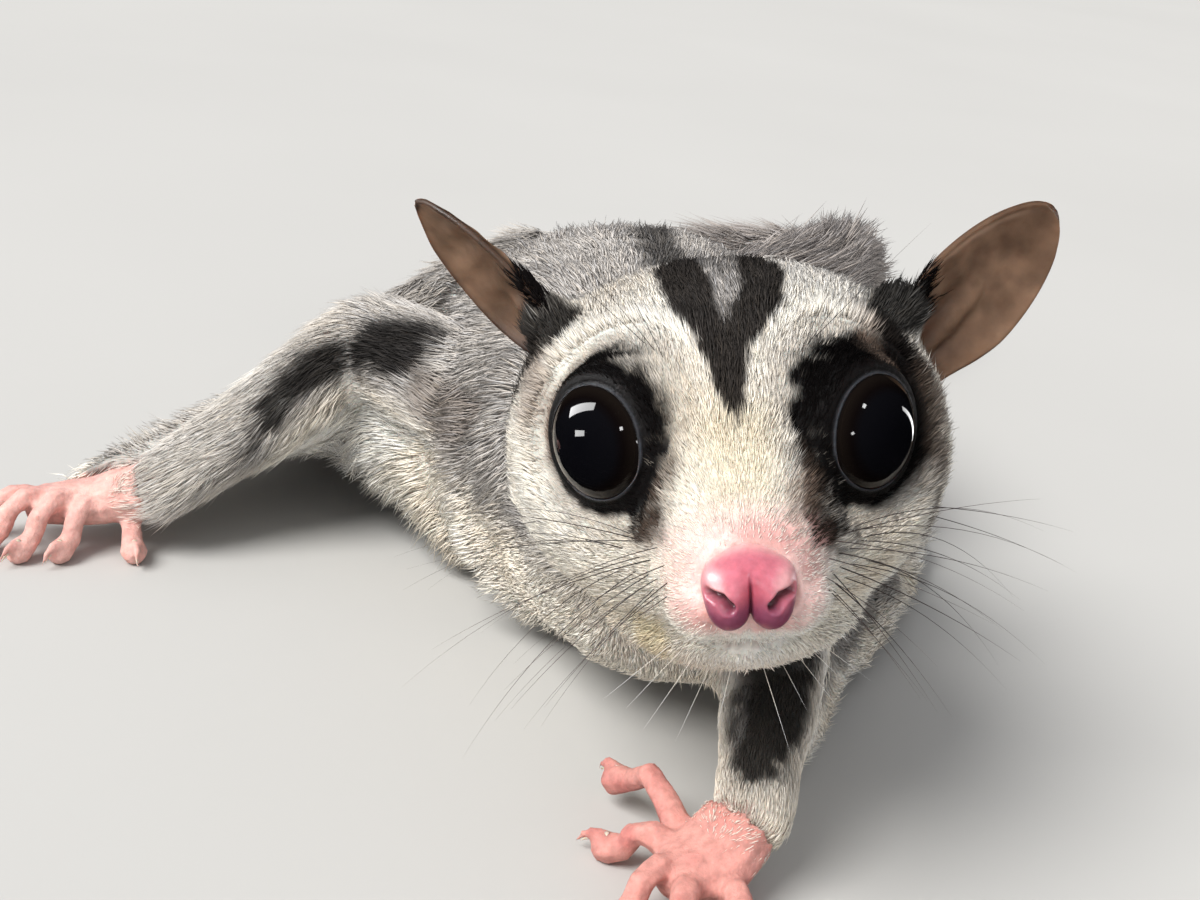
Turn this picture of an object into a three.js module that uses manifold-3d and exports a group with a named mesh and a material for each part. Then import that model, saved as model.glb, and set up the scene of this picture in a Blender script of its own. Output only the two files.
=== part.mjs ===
// Sugar glider, a still life-size model: it crouches low with its head up, its right arm stretched out to
// the side, its left hand planted under the chin and its tail hooked round behind it.
// Millimetres, +Z up. The animal faces -Y, and its left side is towards +X.
import * as THREE from "three";
import { mergeVertices } from "three/addons/utils/BufferGeometryUtils.js";
import Module from "manifold-3d";

const wasm = await Module();
wasm.setup();

// General sizes
const GAP = 0.3; // left between two pieces that touch
const FAR = 400; // longer than the whole animal
const UP = new THREE.Vector3(0, 0, 1);
const LEFT = 1; // the animal's left side, +X
const RIGHT = -1;
const degrees = THREE.MathUtils.degToRad;
const point = (x, y, z) => new THREE.Vector3(x, y, z);

// Head: its own frame has its origin between the eyes, -Y towards the nose and +Z towards the crown
const HEAD_AT = point(-0.3, 15, 36.4);
const HEAD_TURN = degrees(2.5); // the nose swings to the animal's left
const HEAD_LEAN = degrees(-10); // the crown leans to the animal's right
const HEAD_FRAME = new THREE.Matrix4().compose(
  HEAD_AT,
  new THREE.Quaternion().setFromEuler(new THREE.Euler(0, HEAD_LEAN, HEAD_TURN, "ZYX")),
  point(1, 1, 1),
);
const HEAD_LINE = -5.2; // height of the head's widest line below the eyes
const EYE_RADIUS = 5.6;
const EYE_SIDE = 7.5; // eyeball's centre from the midline
const EYE_DEPTH = 2.2;
const EYE_RISE = -0.6;
const GAZE_OUT = degrees(44);
const GAZE_UP = degrees(8);
const ORBIT_RADIUS = 6.5; // brow and cheek swell this far round the eyeball's centre
const LID_FORWARD = 2.9; // plane of the lids' rim in front of the eyeball's centre
const LID_RADIUS = 5.15; // middle of that rim
const LID_THICK = 0.5;

// Coat: half widths and heights below are taken at the fur's outline
const HEAD_STATIONS = [
  // distance back from the eyes, half width, height of the top, height of the underside
  [-13.6, 2.6, -3.6, -8.6],
  [-11, 5, -1.9, -10.6],
  [-8, 7.6, 0.2, -12],
  [-5, 10.2, 2.4, -13.4],
  [-1, 13, 5, -15.2],
  [3, 15.3, 7.3, -16.8],
  [8, 16.9, 8.8, -18],
  [13, 17.2, 9.2, -18.2],
  [18, 15.8, 8.2, -17],
  [22, 12.5, 5.6, -14.5],
];

// A closed three.js geometry as a solid, with its seams and poles merged and faces of no area left out
function solidOf(geometry) {
  const bare = new THREE.BufferGeometry();
  bare.setAttribute("position", geometry.getAttribute("position"));
  bare.setIndex(geometry.index);
  const merged = mergeVertices(bare, 1e-4);
  const corners = merged.index.array;
  const triVerts = [];
  for (let i = 0; i < corners.length; i += 3) {
    const [a, b, c] = corners.slice(i, i + 3);
    if (a !== b && b !== c && c !== a) triVerts.push(a, b, c);
  }
  return new wasm.Manifold(
    new wasm.Mesh({
      numProp: 3,
      vertProperties: merged.attributes.position.array,
      triVerts: new Uint32Array(triVerts),
    }),
  );
}

const union = (...solids) => wasm.Manifold.union(solids);
const mix = THREE.MathUtils.lerp;
const smooth = THREE.MathUtils.smoothstep;

// A rounded form drawn along a curve through stations. A station has its centre `at`, a half width `w` and
// half heights `top` and `foot` above and below the centre. An end is round, or flat where its cap is 0.
// A section's upper and lower halves are round where `square` is 1, and boxier below 1.
function drawn(form, grow = 0) {
  const { stations, up = UP, around = 16, along = 10, endRows = 3, square = [1, 1] } = form;
  const { caps = [1, 1], range = [0, 1], frame } = form;
  const path = new THREE.CatmullRomCurve3(stations.map((s) => point(...s.at)));
  const sizes = new THREE.CatmullRomCurve3(
    stations.map((s) => point(s.w, s.top ?? s.h ?? s.w, s.foot ?? s.h ?? s.w)),
  );
  const rings = [];
  const addEnd = (share, cap, sign) => {
    const t = path.getUtoTmapping(share);
    const size = sizes.getPoint(t);
    const reach = cap > 0 ? (cap * (size.x + size.y + size.z)) / 3 + grow : 0;
    const rows = cap > 0 ? endRows : 1;
    const end = [];
    for (let i = 0; i <= rows; i++) {
      const turn = (i / rows) * (Math.PI / 2);
      end.push({ t, past: sign * reach * Math.cos(turn), scale: Math.sin(turn) });
    }
    rings.push(...(sign < 0 ? end : end.reverse()));
  };
  addEnd(range[0], caps[0], -1);
  for (let i = 1; i < along; i++)
    rings.push({ t: path.getUtoTmapping(mix(range[0], range[1], i / along)), past: 0, scale: 1 });
  addEnd(range[1], caps[1], 1);
  const boxy = (value, power) => Math.sign(value) * Math.abs(value) ** power;
  const geometry = new THREE.SphereGeometry(1, around, rings.length - 1);
  const position = geometry.getAttribute("position");
  rings.forEach(({ t, past, scale }, row) => {
    const centre = path.getPoint(t);
    const ahead = path.getTangent(t);
    const side = ahead.clone().cross(up).normalize();
    const rise = side.clone().cross(ahead);
    const size = sizes.getPoint(t);
    centre.addScaledVector(ahead, past);
    for (let column = 0; column <= around; column++) {
      const turn = (column / around) * 2 * Math.PI;
      const lift = -Math.sin(turn);
      const power = lift > 0 ? square[0] : square[1];
      const out = -boxy(Math.cos(turn), power) * (size.x + grow) * scale;
      const high = boxy(lift, power) * ((lift > 0 ? size.y : size.z) + grow) * scale;
      const at = centre.clone().addScaledVector(side, out).addScaledVector(rise, high);
      position.setXYZ(row * (around + 1) + column, at.x, at.y, at.z);
    }
  });
  if (frame) geometry.applyMatrix4(frame);
  return solidOf(geometry);
}

// An ellipsoid with its poles on the Y axis of its frame
function egg(at, radii, { around = 14, along = 9, frame } = {}, grow = 0) {
  const geometry = new THREE.SphereGeometry(1, around, along);
  geometry.scale(radii[0] + grow, radii[1] + grow, radii[2] + grow).translate(...at);
  if (frame) geometry.applyMatrix4(frame);
  return solidOf(geometry);
}

// A thin bent sheet: `face(u, v)` gives a point of its middle surface, and both faces have the same triangles
function sheet({ columns, rows, face, thick, frame }) {
  const step = 1e-3;
  const points = [];
  const normalAt = (u, v) => {
    const du = face(Math.min(u + step, 1), v).sub(face(Math.max(u - step, 0), v));
    const dv = face(u, Math.min(v + step, 1)).sub(face(u, Math.max(v - step, 0)));
    return du.cross(dv).normalize();
  };
  for (const side of [1, -1])
    for (let j = 0; j <= rows; j++)
      for (let i = 0; i <= columns; i++) {
        const [u, v] = [i / columns, j / rows];
        points.push(face(u, v).addScaledVector(normalAt(u, v), (side * thick(u, v)) / 2));
      }
  const one = (columns + 1) * (rows + 1);
  const index = [];
  const at = (i, j) => j * (columns + 1) + i;
  for (let j = 0; j < rows; j++)
    for (let i = 0; i < columns; i++) {
      const [a, b, c, d] = [at(i, j), at(i + 1, j), at(i + 1, j + 1), at(i, j + 1)];
      index.push(a, b, c, a, c, d, one + a, one + c, one + b, one + a, one + d, one + c);
    }
  const wall = (a, b) => index.push(a, one + a, one + b, a, one + b, b);
  for (let i = 0; i < columns; i++) {
    wall(at(i, 0), at(i + 1, 0));
    wall(at(i + 1, rows), at(i, rows));
  }
  for (let j = 0; j < rows; j++) {
    wall(at(columns, j), at(columns, j + 1));
    wall(at(0, j + 1), at(0, j));
  }
  const geometry = new THREE.BufferGeometry().setFromPoints(points).setIndex(index);
  if (frame) geometry.applyMatrix4(frame);
  return solidOf(geometry);
}

// Eyes: a frame whose +Z is the way the eye looks, with its origin at the eyeball's centre
function eyeFrame(side) {
  const gaze = point(
    side * Math.sin(GAZE_OUT) * Math.cos(GAZE_UP),
    -Math.cos(GAZE_OUT) * Math.cos(GAZE_UP),
    Math.sin(GAZE_UP),
  );
  const turned = new THREE.Matrix4().lookAt(gaze, point(0, 0, 0), UP);
  return turned.setPosition(side * EYE_SIDE, EYE_DEPTH, EYE_RISE).premultiply(HEAD_FRAME);
}

function ball(side, radius) {
  const round = new THREE.SphereGeometry(radius, 18, 10).rotateX(Math.PI / 2);
  return solidOf(round.applyMatrix4(eyeFrame(side)));
}
const eyeball = (side, grow = 0) => ball(side, EYE_RADIUS + grow);

// The rim of the upper and lower lid as one ring, drawn out to a corner on the side of the nose
function lids(side, grow = 0) {
  const CORNER = 1.2; // how far the inner corner reaches past a round opening
  const ring = new THREE.TorusGeometry(LID_RADIUS, LID_THICK + grow, 5, 20).translate(0, 0, LID_FORWARD);
  const position = ring.getAttribute("position");
  const corner = new THREE.Vector2(-side, -0.75).normalize();
  for (let i = 0; i < position.count; i++) {
    const toward = new THREE.Vector2(position.getX(i), position.getY(i));
    const share = Math.max(0, toward.clone().normalize().dot(corner)) ** 8;
    toward.multiplyScalar(1 + (share * CORNER) / LID_RADIUS);
    position.setXY(i, toward.x, toward.y);
  }
  return solidOf(ring.applyMatrix4(eyeFrame(side)));
}

// What is taken off in front of the lids' rim, so that the eye looks out
function eyeOpening(side) {
  const HEIGHT = 5;
  const FLARE = 4.6;
  const funnel = new THREE.CylinderGeometry(LID_RADIUS + FLARE, LID_RADIUS, HEIGHT, 20).rotateX(Math.PI / 2);
  return solidOf(funnel.translate(0, 0, LID_FORWARD + HEIGHT / 2).applyMatrix4(eyeFrame(side)));
}

// The skull and cheeks
const skull = (grow = 0) =>
  drawn(
    {
      stations: HEAD_STATIONS.map(([y, w, top, foot]) => ({
        at: [0, y, HEAD_LINE],
        w,
        top: top - HEAD_LINE,
        foot: HEAD_LINE - foot,
      })),
      around: 26,
      along: 15,
      caps: [0.3, 0.5],
      square: [0.93, 0.93],
      frame: HEAD_FRAME,
    },
    grow,
  );

// The lower jaw, a little narrower than the upper lips so that their edge stands over it
const jaw = (grow = 0) =>
  drawn(
    {
      stations: [
        { at: [0, -10.2, -11.7], w: 2.4, h: 1.5 },
        { at: [0, -6, -13.4], w: 5, h: 2.3 },
        { at: [0, 0, -15.4], w: 8.5, h: 3 },
        { at: [0, 7, -16], w: 11, h: 4 },
      ],
      around: 16,
      along: 6,
      endRows: 2,
      frame: HEAD_FRAME,
    },
    grow,
  );

// The two soft pads that carry the whiskers, either side of the nose
const whiskerPad = (side, grow = 0) =>
  egg([side * 3.1, -9.8, -7.9], [3.2, 3.7, 2.8], { around: 10, along: 6, frame: HEAD_FRAME }, grow);

const headCore = (grow = 0) =>
  union(skull(grow), jaw(grow), whiskerPad(LEFT, grow), whiskerPad(RIGHT, grow));
const headForms = (grow = 0) => {
  const orbits = union(ball(LEFT, ORBIT_RADIUS + grow), ball(RIGHT, ORBIT_RADIUS + grow));
  const open = union(headCore(grow), orbits).subtract(union(eyeOpening(LEFT), eyeOpening(RIGHT)));
  return union(open, lids(LEFT, grow), lids(RIGHT, grow));
};

// A cut along the lips, from under the nose to the corner of the mouth on each side
function mouthLine() {
  const WIDTH = 0.5;
  const DEPTH = 0.9;
  const FRONT = -15;
  const CORNER = -0.5;
  const lip = (y) => -10.2 - 1.6 * Math.sin(((y - FRONT) / (CORNER - FRONT)) * Math.PI);
  const plate = new THREE.BoxGeometry(26, CORNER - FRONT, WIDTH, 1, 10, 1).translate(
    0,
    (CORNER + FRONT) / 2,
    0,
  );
  const position = plate.getAttribute("position");
  for (let i = 0; i < position.count; i++)
    position.setZ(i, position.getZ(i) + lip(position.getY(i)));
  return solidOf(plate.applyMatrix4(HEAD_FRAME)).subtract(headCore(-DEPTH));
}

// Nose pad: two lobes and a bridge, with a nostril at each side and a groove between the lobes
const NOSE = { side: 1.4, y: -13.9, z: -5.9 };
const NOSE_NET = { around: 11, along: 7, frame: HEAD_FRAME };
function nosePad(grow = 0) {
  const lobe = (side) =>
    egg([side * NOSE.side, NOSE.y, NOSE.z], [1.7, 2.1, 2.3], NOSE_NET, grow);
  const bridge = egg([0, NOSE.y + 0.9, NOSE.z + 1.3], [2.4, 2.4, 1.6], NOSE_NET, grow);
  return union(lobe(LEFT), lobe(RIGHT), bridge);
}
const nostril = (side) =>
  drawn({
    stations: [
      { at: [side * 2.1, NOSE.y - 2.4, NOSE.z - 0.3], w: 0.75, h: 0.55 },
      { at: [side * 2.3, NOSE.y - 1.1, NOSE.z - 0.1], w: 0.6, h: 0.5 },
      { at: [side * 3.2, NOSE.y - 0.1, NOSE.z + 0.3], w: 0.3, h: 0.3 },
    ],
    around: 8,
    along: 4,
    frame: HEAD_FRAME,
  });
const noseGroove = () => {
  const slot = new THREE.BoxGeometry(0.35, 2, 4.2).translate(0, NOSE.y - 2.2, NOSE.z - 1.2);
  return solidOf(slot.applyMatrix4(HEAD_FRAME));
};

// Ears: a thin leaf bent into a cup. `along` runs from the root to the tip, `faces` is the way the cup opens
function ear({ root, along, faces, length, width, cup }, grow = 0) {
  const THICK = 0.7;
  const ROOT = -0.12; // the leaf starts inside the head
  const axis = point(...along).normalize();
  const open = point(...faces).normalize();
  open.addScaledVector(axis, -open.dot(axis)).normalize();
  const across = axis.clone().cross(open);
  const face = (u, v) => {
    const s = mix(ROOT, 1, 1 - (1 - v) ** 1.5);
    const t = 2 * u - 1;
    const taper = (1 - Math.max(0, (s - 0.3) / 0.7) ** 2.2) ** 0.62;
    const half = (width / 2) * mix(0.66, 1, smooth(s, ROOT, 0.4)) * taper + 0.12;
    const hollow = cup * (1 - t * t) * (1 - 0.8 * s);
    return point(...root)
      .addScaledVector(axis, s * length)
      .addScaledVector(across, t * half)
      .addScaledVector(open, -hollow);
  };
  return sheet({ columns: 10, rows: 10, face, thick: () => THICK + 2 * grow, frame: HEAD_FRAME });
}
const EAR = { length: 15.8, width: 10.8 };
const leftEar = (grow = 0) =>
  ear(
    { ...EAR, root: [15.2, 14, 0.6], along: [0.74, 0.25, 0.6], faces: [0.35, -0.9, -0.1], cup: 2.6 },
    grow,
  );
const rightEar = (grow = 0) =>
  ear(
    { ...EAR, root: [-15.4, 14.6, 1.4], along: [-0.6, 0.42, 0.67], faces: [-0.95, -0.35, -0.2], cup: 3 },
    grow,
  );

// Trunk
const neck = (grow = 0) =>
  drawn(
    {
      stations: [
        { at: [-0.2, 27, 31], w: 12.5, top: 11.5, foot: 13 },
        { at: [-0.4, 35, 28], w: 15.5, top: 13, foot: 18 },
        { at: [-0.8, 43, 24.5], w: 17.5, top: 14.4, foot: 22 },
        { at: [-2.8, 52, 21.5], w: 20.2, top: 15, foot: 20.8 },
      ],
      around: 22,
      along: 6,
      square: [1, 0.85],
    },
    grow,
  );
const torso = (grow = 0) =>
  drawn(
    {
      stations: [
        { at: [-3, 50, 20], w: 20.4, top: 15, foot: 19.8 },
        { at: [-4.8, 64, 18.6], w: 22.8, top: 15.6, foot: 18.9 },
        { at: [-6, 80, 17.2], w: 23.4, top: 15, foot: 17.5 },
        { at: [-7, 97, 16.2], w: 22.5, top: 13.8, foot: 16.4 },
        { at: [-6.6, 112, 14.4], w: 18.5, top: 12, foot: 14.6 },
        { at: [-5, 122, 12.6], w: 12.5, top: 9.8, foot: 11.8 },
        { at: [-4, 129, 12], w: 7.6, top: 7, foot: 7.6 },
      ],
      around: 24,
      along: 13,
      caps: [0.5, 0.4],
      square: [1, 0.8],
    },
    grow,
  );

// Tail: one curve, parted into equal lengths
const TAIL_LENGTHS = 4;
const TAIL = [
  { at: [-4.6, 120, 12], w: 5.4 },
  { at: [4, 132, 12.4], w: 6.5 },
  { at: [14, 143, 13.4], w: 7.2 },
  { at: [20.8, 155, 13.6], w: 7.4 },
  { at: [21.4, 168, 9], w: 7 },
  { at: [12, 175.4, 6.8], w: 6.9 },
  { at: [0, 168.5, 6.7], w: 6.8 },
  { at: [-11, 157, 6.6], w: 6.7 },
  { at: [-22, 146, 6.2], w: 6.3 },
  { at: [-32, 136, 5.5], w: 5.6 },
  { at: [-40, 125, 3.6], w: 3.8 },
];
const TAIL_REACH = new THREE.CatmullRomCurve3(TAIL.map((s) => point(...s.at))).getLength();
function tailLength(index) {
  const part = 1 / TAIL_LENGTHS;
  const gap = GAP / 2 / TAIL_REACH; // half the gap as a share of the tail
  const first = index === 0;
  const last = index === TAIL_LENGTHS - 1;
  return drawn({
    stations: TAIL,
    around: 14,
    along: 7,
    caps: [first ? 1 : 0, last ? 1.2 : 0],
    range: [index * part + (first ? 0 : gap), (index + 1) * part - (last ? 0 : gap)],
  });
}

// Limbs: each bone's form runs from one joint to the next
const limb = (from, to, [w0, w1, w2], grow = 0, bulge = 0.45) =>
  drawn(
    {
      stations: [
        { at: from.toArray(), w: w0 },
        { at: from.clone().lerp(to, bulge).toArray(), w: w1 },
        { at: to.toArray(), w: w2 },
      ],
      around: 13,
      along: 6,
    },
    grow,
  );

const ARMS = {
  right: { shoulder: point(-14, 52, 20), elbow: point(-34, 72, 20), wrist: point(-51.8, 58.6, 6.8) },
  left: { shoulder: point(13.5, 57, 21), elbow: point(8.4, 43.5, 9.5), wrist: point(6, 14.6, 6) },
};
const LEGS = {
  right: { hip: point(-18, 104, 16), knee: point(-31, 86, 16.5), ankle: point(-31, 111, 5.2) },
  left: { hip: point(4, 104, 16), knee: point(17, 87, 16.5), ankle: point(16.5, 112, 5.2) },
};
const UPPER_ARM = [8.2, 7, 5.4];
const FOREARM = [5.6, 5, 3];
const THIGH = [11, 10, 7];
const SHANK = [6.8, 5.6, 3.2];

// Hands and feet. A digit runs from its knuckle over a raised joint to a pad on the floor, and ends in a claw
const PAD = 1.45; // radius of a finger's pad
const PAD_HEIGHT = 1.2; // of the pad's centre: its underside is cut flat by the floor
function digit({ from, tip, lift = PAD_HEIGHT, arch = 1.9, thick = 1.15, claw = 2.1 }, grow = 0) {
  const end = point(...tip, lift);
  const base = point(...from);
  const ahead = end.clone().sub(base).setZ(0).normalize();
  const bend = base.clone().lerp(end, 0.5);
  bend.z += arch;
  const finger = drawn(
    {
      stations: [
        { at: base.toArray(), w: thick * 1.15 },
        { at: bend.toArray(), w: thick },
        { at: end.clone().addScaledVector(ahead, -1.6).setZ(lift + 0.7).toArray(), w: thick * 0.95 },
        { at: end.toArray(), w: PAD, top: PAD * 0.9, foot: PAD },
      ],
      around: 6,
      along: 4,
      endRows: 2,
    },
    grow,
  );
  if (!claw) return finger;
  const clawPoint = (forward, z) => end.clone().addScaledVector(ahead, forward).setZ(z).toArray();
  return finger.add(
    drawn({
      stations: [
        { at: clawPoint(0.4, lift + 0.9), w: 0.5, h: 0.7 },
        { at: clawPoint(0.6 + claw * 0.55, lift + 0.7), w: 0.4, h: 0.5 },
        { at: clawPoint(0.6 + claw, lift - 0.6), w: 0.18, h: 0.2 },
      ],
      around: 5,
      along: 3,
      caps: [0.3, 1],
      endRows: 1,
    }),
  );
}

// A palm or sole between the wrist and the knuckles, with the digits grown from it
function paw({ wrist, palm, end, wide, digits }, grow = 0) {
  const middle = point(...palm);
  const sole = drawn(
    {
      stations: [
        { at: wrist.toArray(), w: 2.9, h: 2.9 },
        { at: wrist.clone().lerp(middle, 0.55).toArray(), w: mix(2.9, wide, 0.6), h: 2.8 },
        { at: middle.toArray(), w: wide, h: 2.4 },
        { at: end, w: wide * 0.8, h: 2 },
      ],
      around: 10,
      along: 5,
      endRows: 2,
    },
    grow,
  );
  return union(sole, ...digits.map((one) => digit(one, grow)));
}

const rightHand = (grow = 0) =>
  paw(
    {
      wrist: ARMS.right.wrist,
      palm: [-58.6, 58.4, 4.2],
      end: [-63.2, 57, 3.8],
      wide: 3.3,
      digits: [
        { from: [-55, 58, 3.6], tip: [-53.4, 54.4], arch: 0.8 },
        { from: [-58.4, 57, 4.6], tip: [-60, 52.2], arch: 1.6 },
        { from: [-61, 56.6, 4.8], tip: [-63.6, 51], arch: 1.8 },
        { from: [-63.4, 56.6, 4.6], tip: [-67.2, 51.6], arch: 1.8 },
        { from: [-65, 57.8, 4], tip: [-69.8, 54.6], arch: 1.4 },
      ],
    },
    grow,
  );
const leftHand = (grow = 0) =>
  paw(
    {
      wrist: ARMS.left.wrist,
      palm: [3.2, 11.4, 3.8],
      end: [1, 9.6, 3],
      wide: 3.8,
      digits: [
        { from: [0.6, 14.6, 3.6], tip: [-4.6, 22.4], lift: 2.6, arch: 2.6 },
        { from: [-0.4, 12.6, 3.4], tip: [-4.8, 14.6], arch: 1.6 },
        { from: [-0.2, 9.8, 3.2], tip: [-3.6, 5] },
        { from: [1.4, 8.2, 3], tip: [0.4, 1.8] },
        { from: [4.4, 8.4, 3], tip: [6, 3] },
      ],
    },
    grow,
  );
const foot = (side, grow = 0) => {
  const { ankle } = side > 0 ? LEGS.left : LEGS.right;
  const place = (out, back, z) => [ankle.x + side * out, ankle.y + back, z];
  const tipAt = (out, back) => place(out, back).slice(0, 2);
  return paw(
    {
      wrist: ankle,
      palm: place(3.2, -8, 3.2),
      end: place(4.4, -11, 3),
      wide: 4,
      digits: [
        { from: place(0.4, -7.4, 2.4), tip: tipAt(-4.2, -12), claw: 0, thick: 1.35, arch: 0.6 },
        { from: place(3, -12.2, 2.6), tip: tipAt(3, -19), arch: 1 },
        { from: place(4.6, -12.2, 2.6), tip: tipAt(6.2, -19.6), arch: 1 },
        { from: place(6.2, -11.4, 2.6), tip: tipAt(10.6, -18.2), arch: 1 },
        { from: place(7.2, -9.6, 2.4), tip: tipAt(12.6, -13.8), arch: 0.8 },
      ],
    },
    grow,
  );
};

// The gliding membrane between wrist and ankle: from a line over the limbs and flank down to a free edge
function patagium({ inner, outer }) {
  const FOLDS = 5; // slack folds along the free edge
  const DEPTH = 1.1;
  const inside = new THREE.CatmullRomCurve3(inner.map((p) => point(...p)));
  const outside = new THREE.CatmullRomCurve3(outer.map((p) => point(...p)));
  const face = (u, v) => {
    const at = inside.getPoint(u).lerp(outside.getPoint(u), v);
    const slack = Math.sin(u * Math.PI) * v * DEPTH;
    at.z += slack * Math.sin(u * FOLDS * 2 * Math.PI) + Math.sin(v * Math.PI) * 1.5;
    return at;
  };
  return sheet({ columns: 15, rows: 4, face, thick: (u, v) => mix(2, 1.3, v) });
}
const rightPatagium = () =>
  patagium({
    inner: [
      [-52.5, 60.5, 7],
      [-36, 75, 17],
      [-26, 82, 14],
      [-31, 92, 12],
      [-32, 109, 6],
    ],
    outer: [
      [-62, 59.8, 4.6],
      [-57, 70, 4.4],
      [-49, 84, 3.4],
      [-42, 98, 3],
      [-35.6, 108, 4],
    ],
  });
const leftPatagium = () =>
  patagium({
    inner: [
      [7, 21, 6.4],
      [11, 40, 9],
      [13, 60, 12],
      [17, 90, 12],
      [17.5, 110, 6],
    ],
    outer: [
      [9.6, 22, 4.6],
      [15, 42, 3.4],
      [23, 64, 3],
      [27, 88, 3],
      [21, 108, 4],
    ],
  });

// Materials, by what the surface is made of
const material = (color, roughness) => new THREE.MeshStandardMaterial({ color, roughness, metalness: 0 });
const COAT_PALE = material(0xe4dccd, 0.95);
const COAT_GREY = material(0x9b938e, 0.95);
const SKIN_PINK = material(0xe0a096, 0.6);
const NOSE_PINK = material(0xd98290, 0.35);
const EAR_BROWN = material(0x6d4c36, 0.7);
const EYE_BLACK = material(0x060507, 0.03);

// The pieces in the order of who gives way: each is cut clear of the earlier ones that it meets
const pieces = [
  ["eye_left", EYE_BLACK, eyeball(LEFT), []],
  ["eye_right", EYE_BLACK, eyeball(RIGHT), []],
  ["nose", NOSE_PINK, nosePad().subtract(union(nostril(LEFT), nostril(RIGHT), noseGroove())), []],
  [
    "head",
    COAT_PALE,
    headForms().subtract(mouthLine()),
    [eyeball(LEFT, GAP), eyeball(RIGHT, GAP), nosePad(GAP)],
  ],
  ["ear_left", EAR_BROWN, leftEar(), [headForms(GAP)]],
  ["ear_right", EAR_BROWN, rightEar(), [headForms(GAP)]],
  ["neck", COAT_PALE, neck(), [headForms(GAP), leftEar(GAP), rightEar(GAP)]],
  ["torso", COAT_GREY, torso(), [neck(GAP)]],
];

const trunk = [neck(GAP), torso(GAP)];
for (const [name, arm, hand] of [
  ["right", ARMS.right, rightHand],
  ["left", ARMS.left, leftHand],
]) {
  const upper = (grow) => limb(arm.shoulder, arm.elbow, UPPER_ARM, grow);
  const fore = (grow) => limb(arm.elbow, arm.wrist, FOREARM, grow, 0.4);
  pieces.push([`upper_arm_${name}`, COAT_GREY, upper(0), trunk]);
  pieces.push([`forearm_${name}`, COAT_PALE, fore(0), [...trunk, upper(GAP)]]);
  pieces.push([`hand_${name}`, SKIN_PINK, hand(0), [fore(GAP)]]);
}
for (const [name, side, leg] of [
  ["right", RIGHT, LEGS.right],
  ["left", LEFT, LEGS.left],
]) {
  const thigh = (grow) => limb(leg.hip, leg.knee, THIGH, grow);
  const shank = (grow) => limb(leg.knee, leg.ankle, SHANK, grow, 0.35);
  pieces.push([`thigh_${name}`, COAT_GREY, thigh(0), trunk]);
  pieces.push([`shank_${name}`, COAT_GREY, shank(0), [...trunk, thigh(GAP)]]);
  pieces.push([`foot_${name}`, SKIN_PINK, foot(side, 0), [...trunk, shank(GAP), thigh(GAP)]]);
}

const armsAndLegs = (name, side, hand) => [
  limb(ARMS[name].shoulder, ARMS[name].elbow, UPPER_ARM, GAP),
  limb(ARMS[name].elbow, ARMS[name].wrist, FOREARM, GAP, 0.4),
  limb(LEGS[name].hip, LEGS[name].knee, THIGH, GAP),
  limb(LEGS[name].knee, LEGS[name].ankle, SHANK, GAP, 0.35),
  hand(GAP),
  foot(side, GAP),
];
pieces.push([
  "patagium_right",
  COAT_PALE,
  rightPatagium(),
  [...trunk, ...armsAndLegs("right", RIGHT, rightHand)],
]);
pieces.push([
  "patagium_left",
  COAT_PALE,
  leftPatagium(),
  [...trunk, ...armsAndLegs("left", LEFT, leftHand)],
]);
for (let i = 0; i < TAIL_LENGTHS; i++)
  pieces.push([`tail_${i + 1}`, COAT_GREY, tailLength(i), i === 0 ? [torso(GAP)] : []]);

// A solid as a three.js geometry
function geometryOf(solid) {
  const { numProp, numVert, vertProperties, triVerts } = solid.getMesh();
  const position = new Float32Array(numVert * 3);
  for (let i = 0; i < numVert; i++)
    position.set(vertProperties.subarray(i * numProp, i * numProp + 3), i * 3);
  return new THREE.BufferGeometry()
    .setAttribute("position", new THREE.BufferAttribute(position, 3))
    .setIndex(new THREE.BufferAttribute(triVerts, 1));
}

// Cuts each piece, levels what reaches the floor, and keeps its largest closed surface
const group = new THREE.Group();
const floor = solidOf(new THREE.BoxGeometry(FAR, FAR, FAR).translate(0, FAR / 4, -FAR / 2));
for (const [name, finish, solid, cutters] of pieces) {
  const cut = cutters.reduce((left, cutter) => left.subtract(cutter), solid).subtract(floor);
  const largest = cut.decompose().reduce((a, b) => (a.volume() > b.volume() ? a : b));
  const mesh = new THREE.Mesh(geometryOf(largest), finish);
  mesh.name = name;
  group.add(mesh);
}

// The origin is on the floor under the middle of the whole animal
const box = new THREE.Box3().setFromObject(group);
const middle = box.getCenter(point(0, 0, 0));
group.position.set(-middle.x, -middle.y, 0);

export default group;
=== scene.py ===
# %% [markdown]
# # A sugar glider: skin, coat, eyes, ears and paws
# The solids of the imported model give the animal's build. This file dresses them: one skin over all the
# flesh, a coat of short tufts that follows the way real fur lies, and finer eyes, nose, ears and claws.
# Everything is measured in the model's own frame, in metres, with two helper frames in millimetres.

# %% Load the model
import math

import bmesh
import bpy
import numpy as np
from mathutils import Matrix, Vector
from mathutils.bvhtree import BVHTree
from mathutils.kdtree import KDTree


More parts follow.
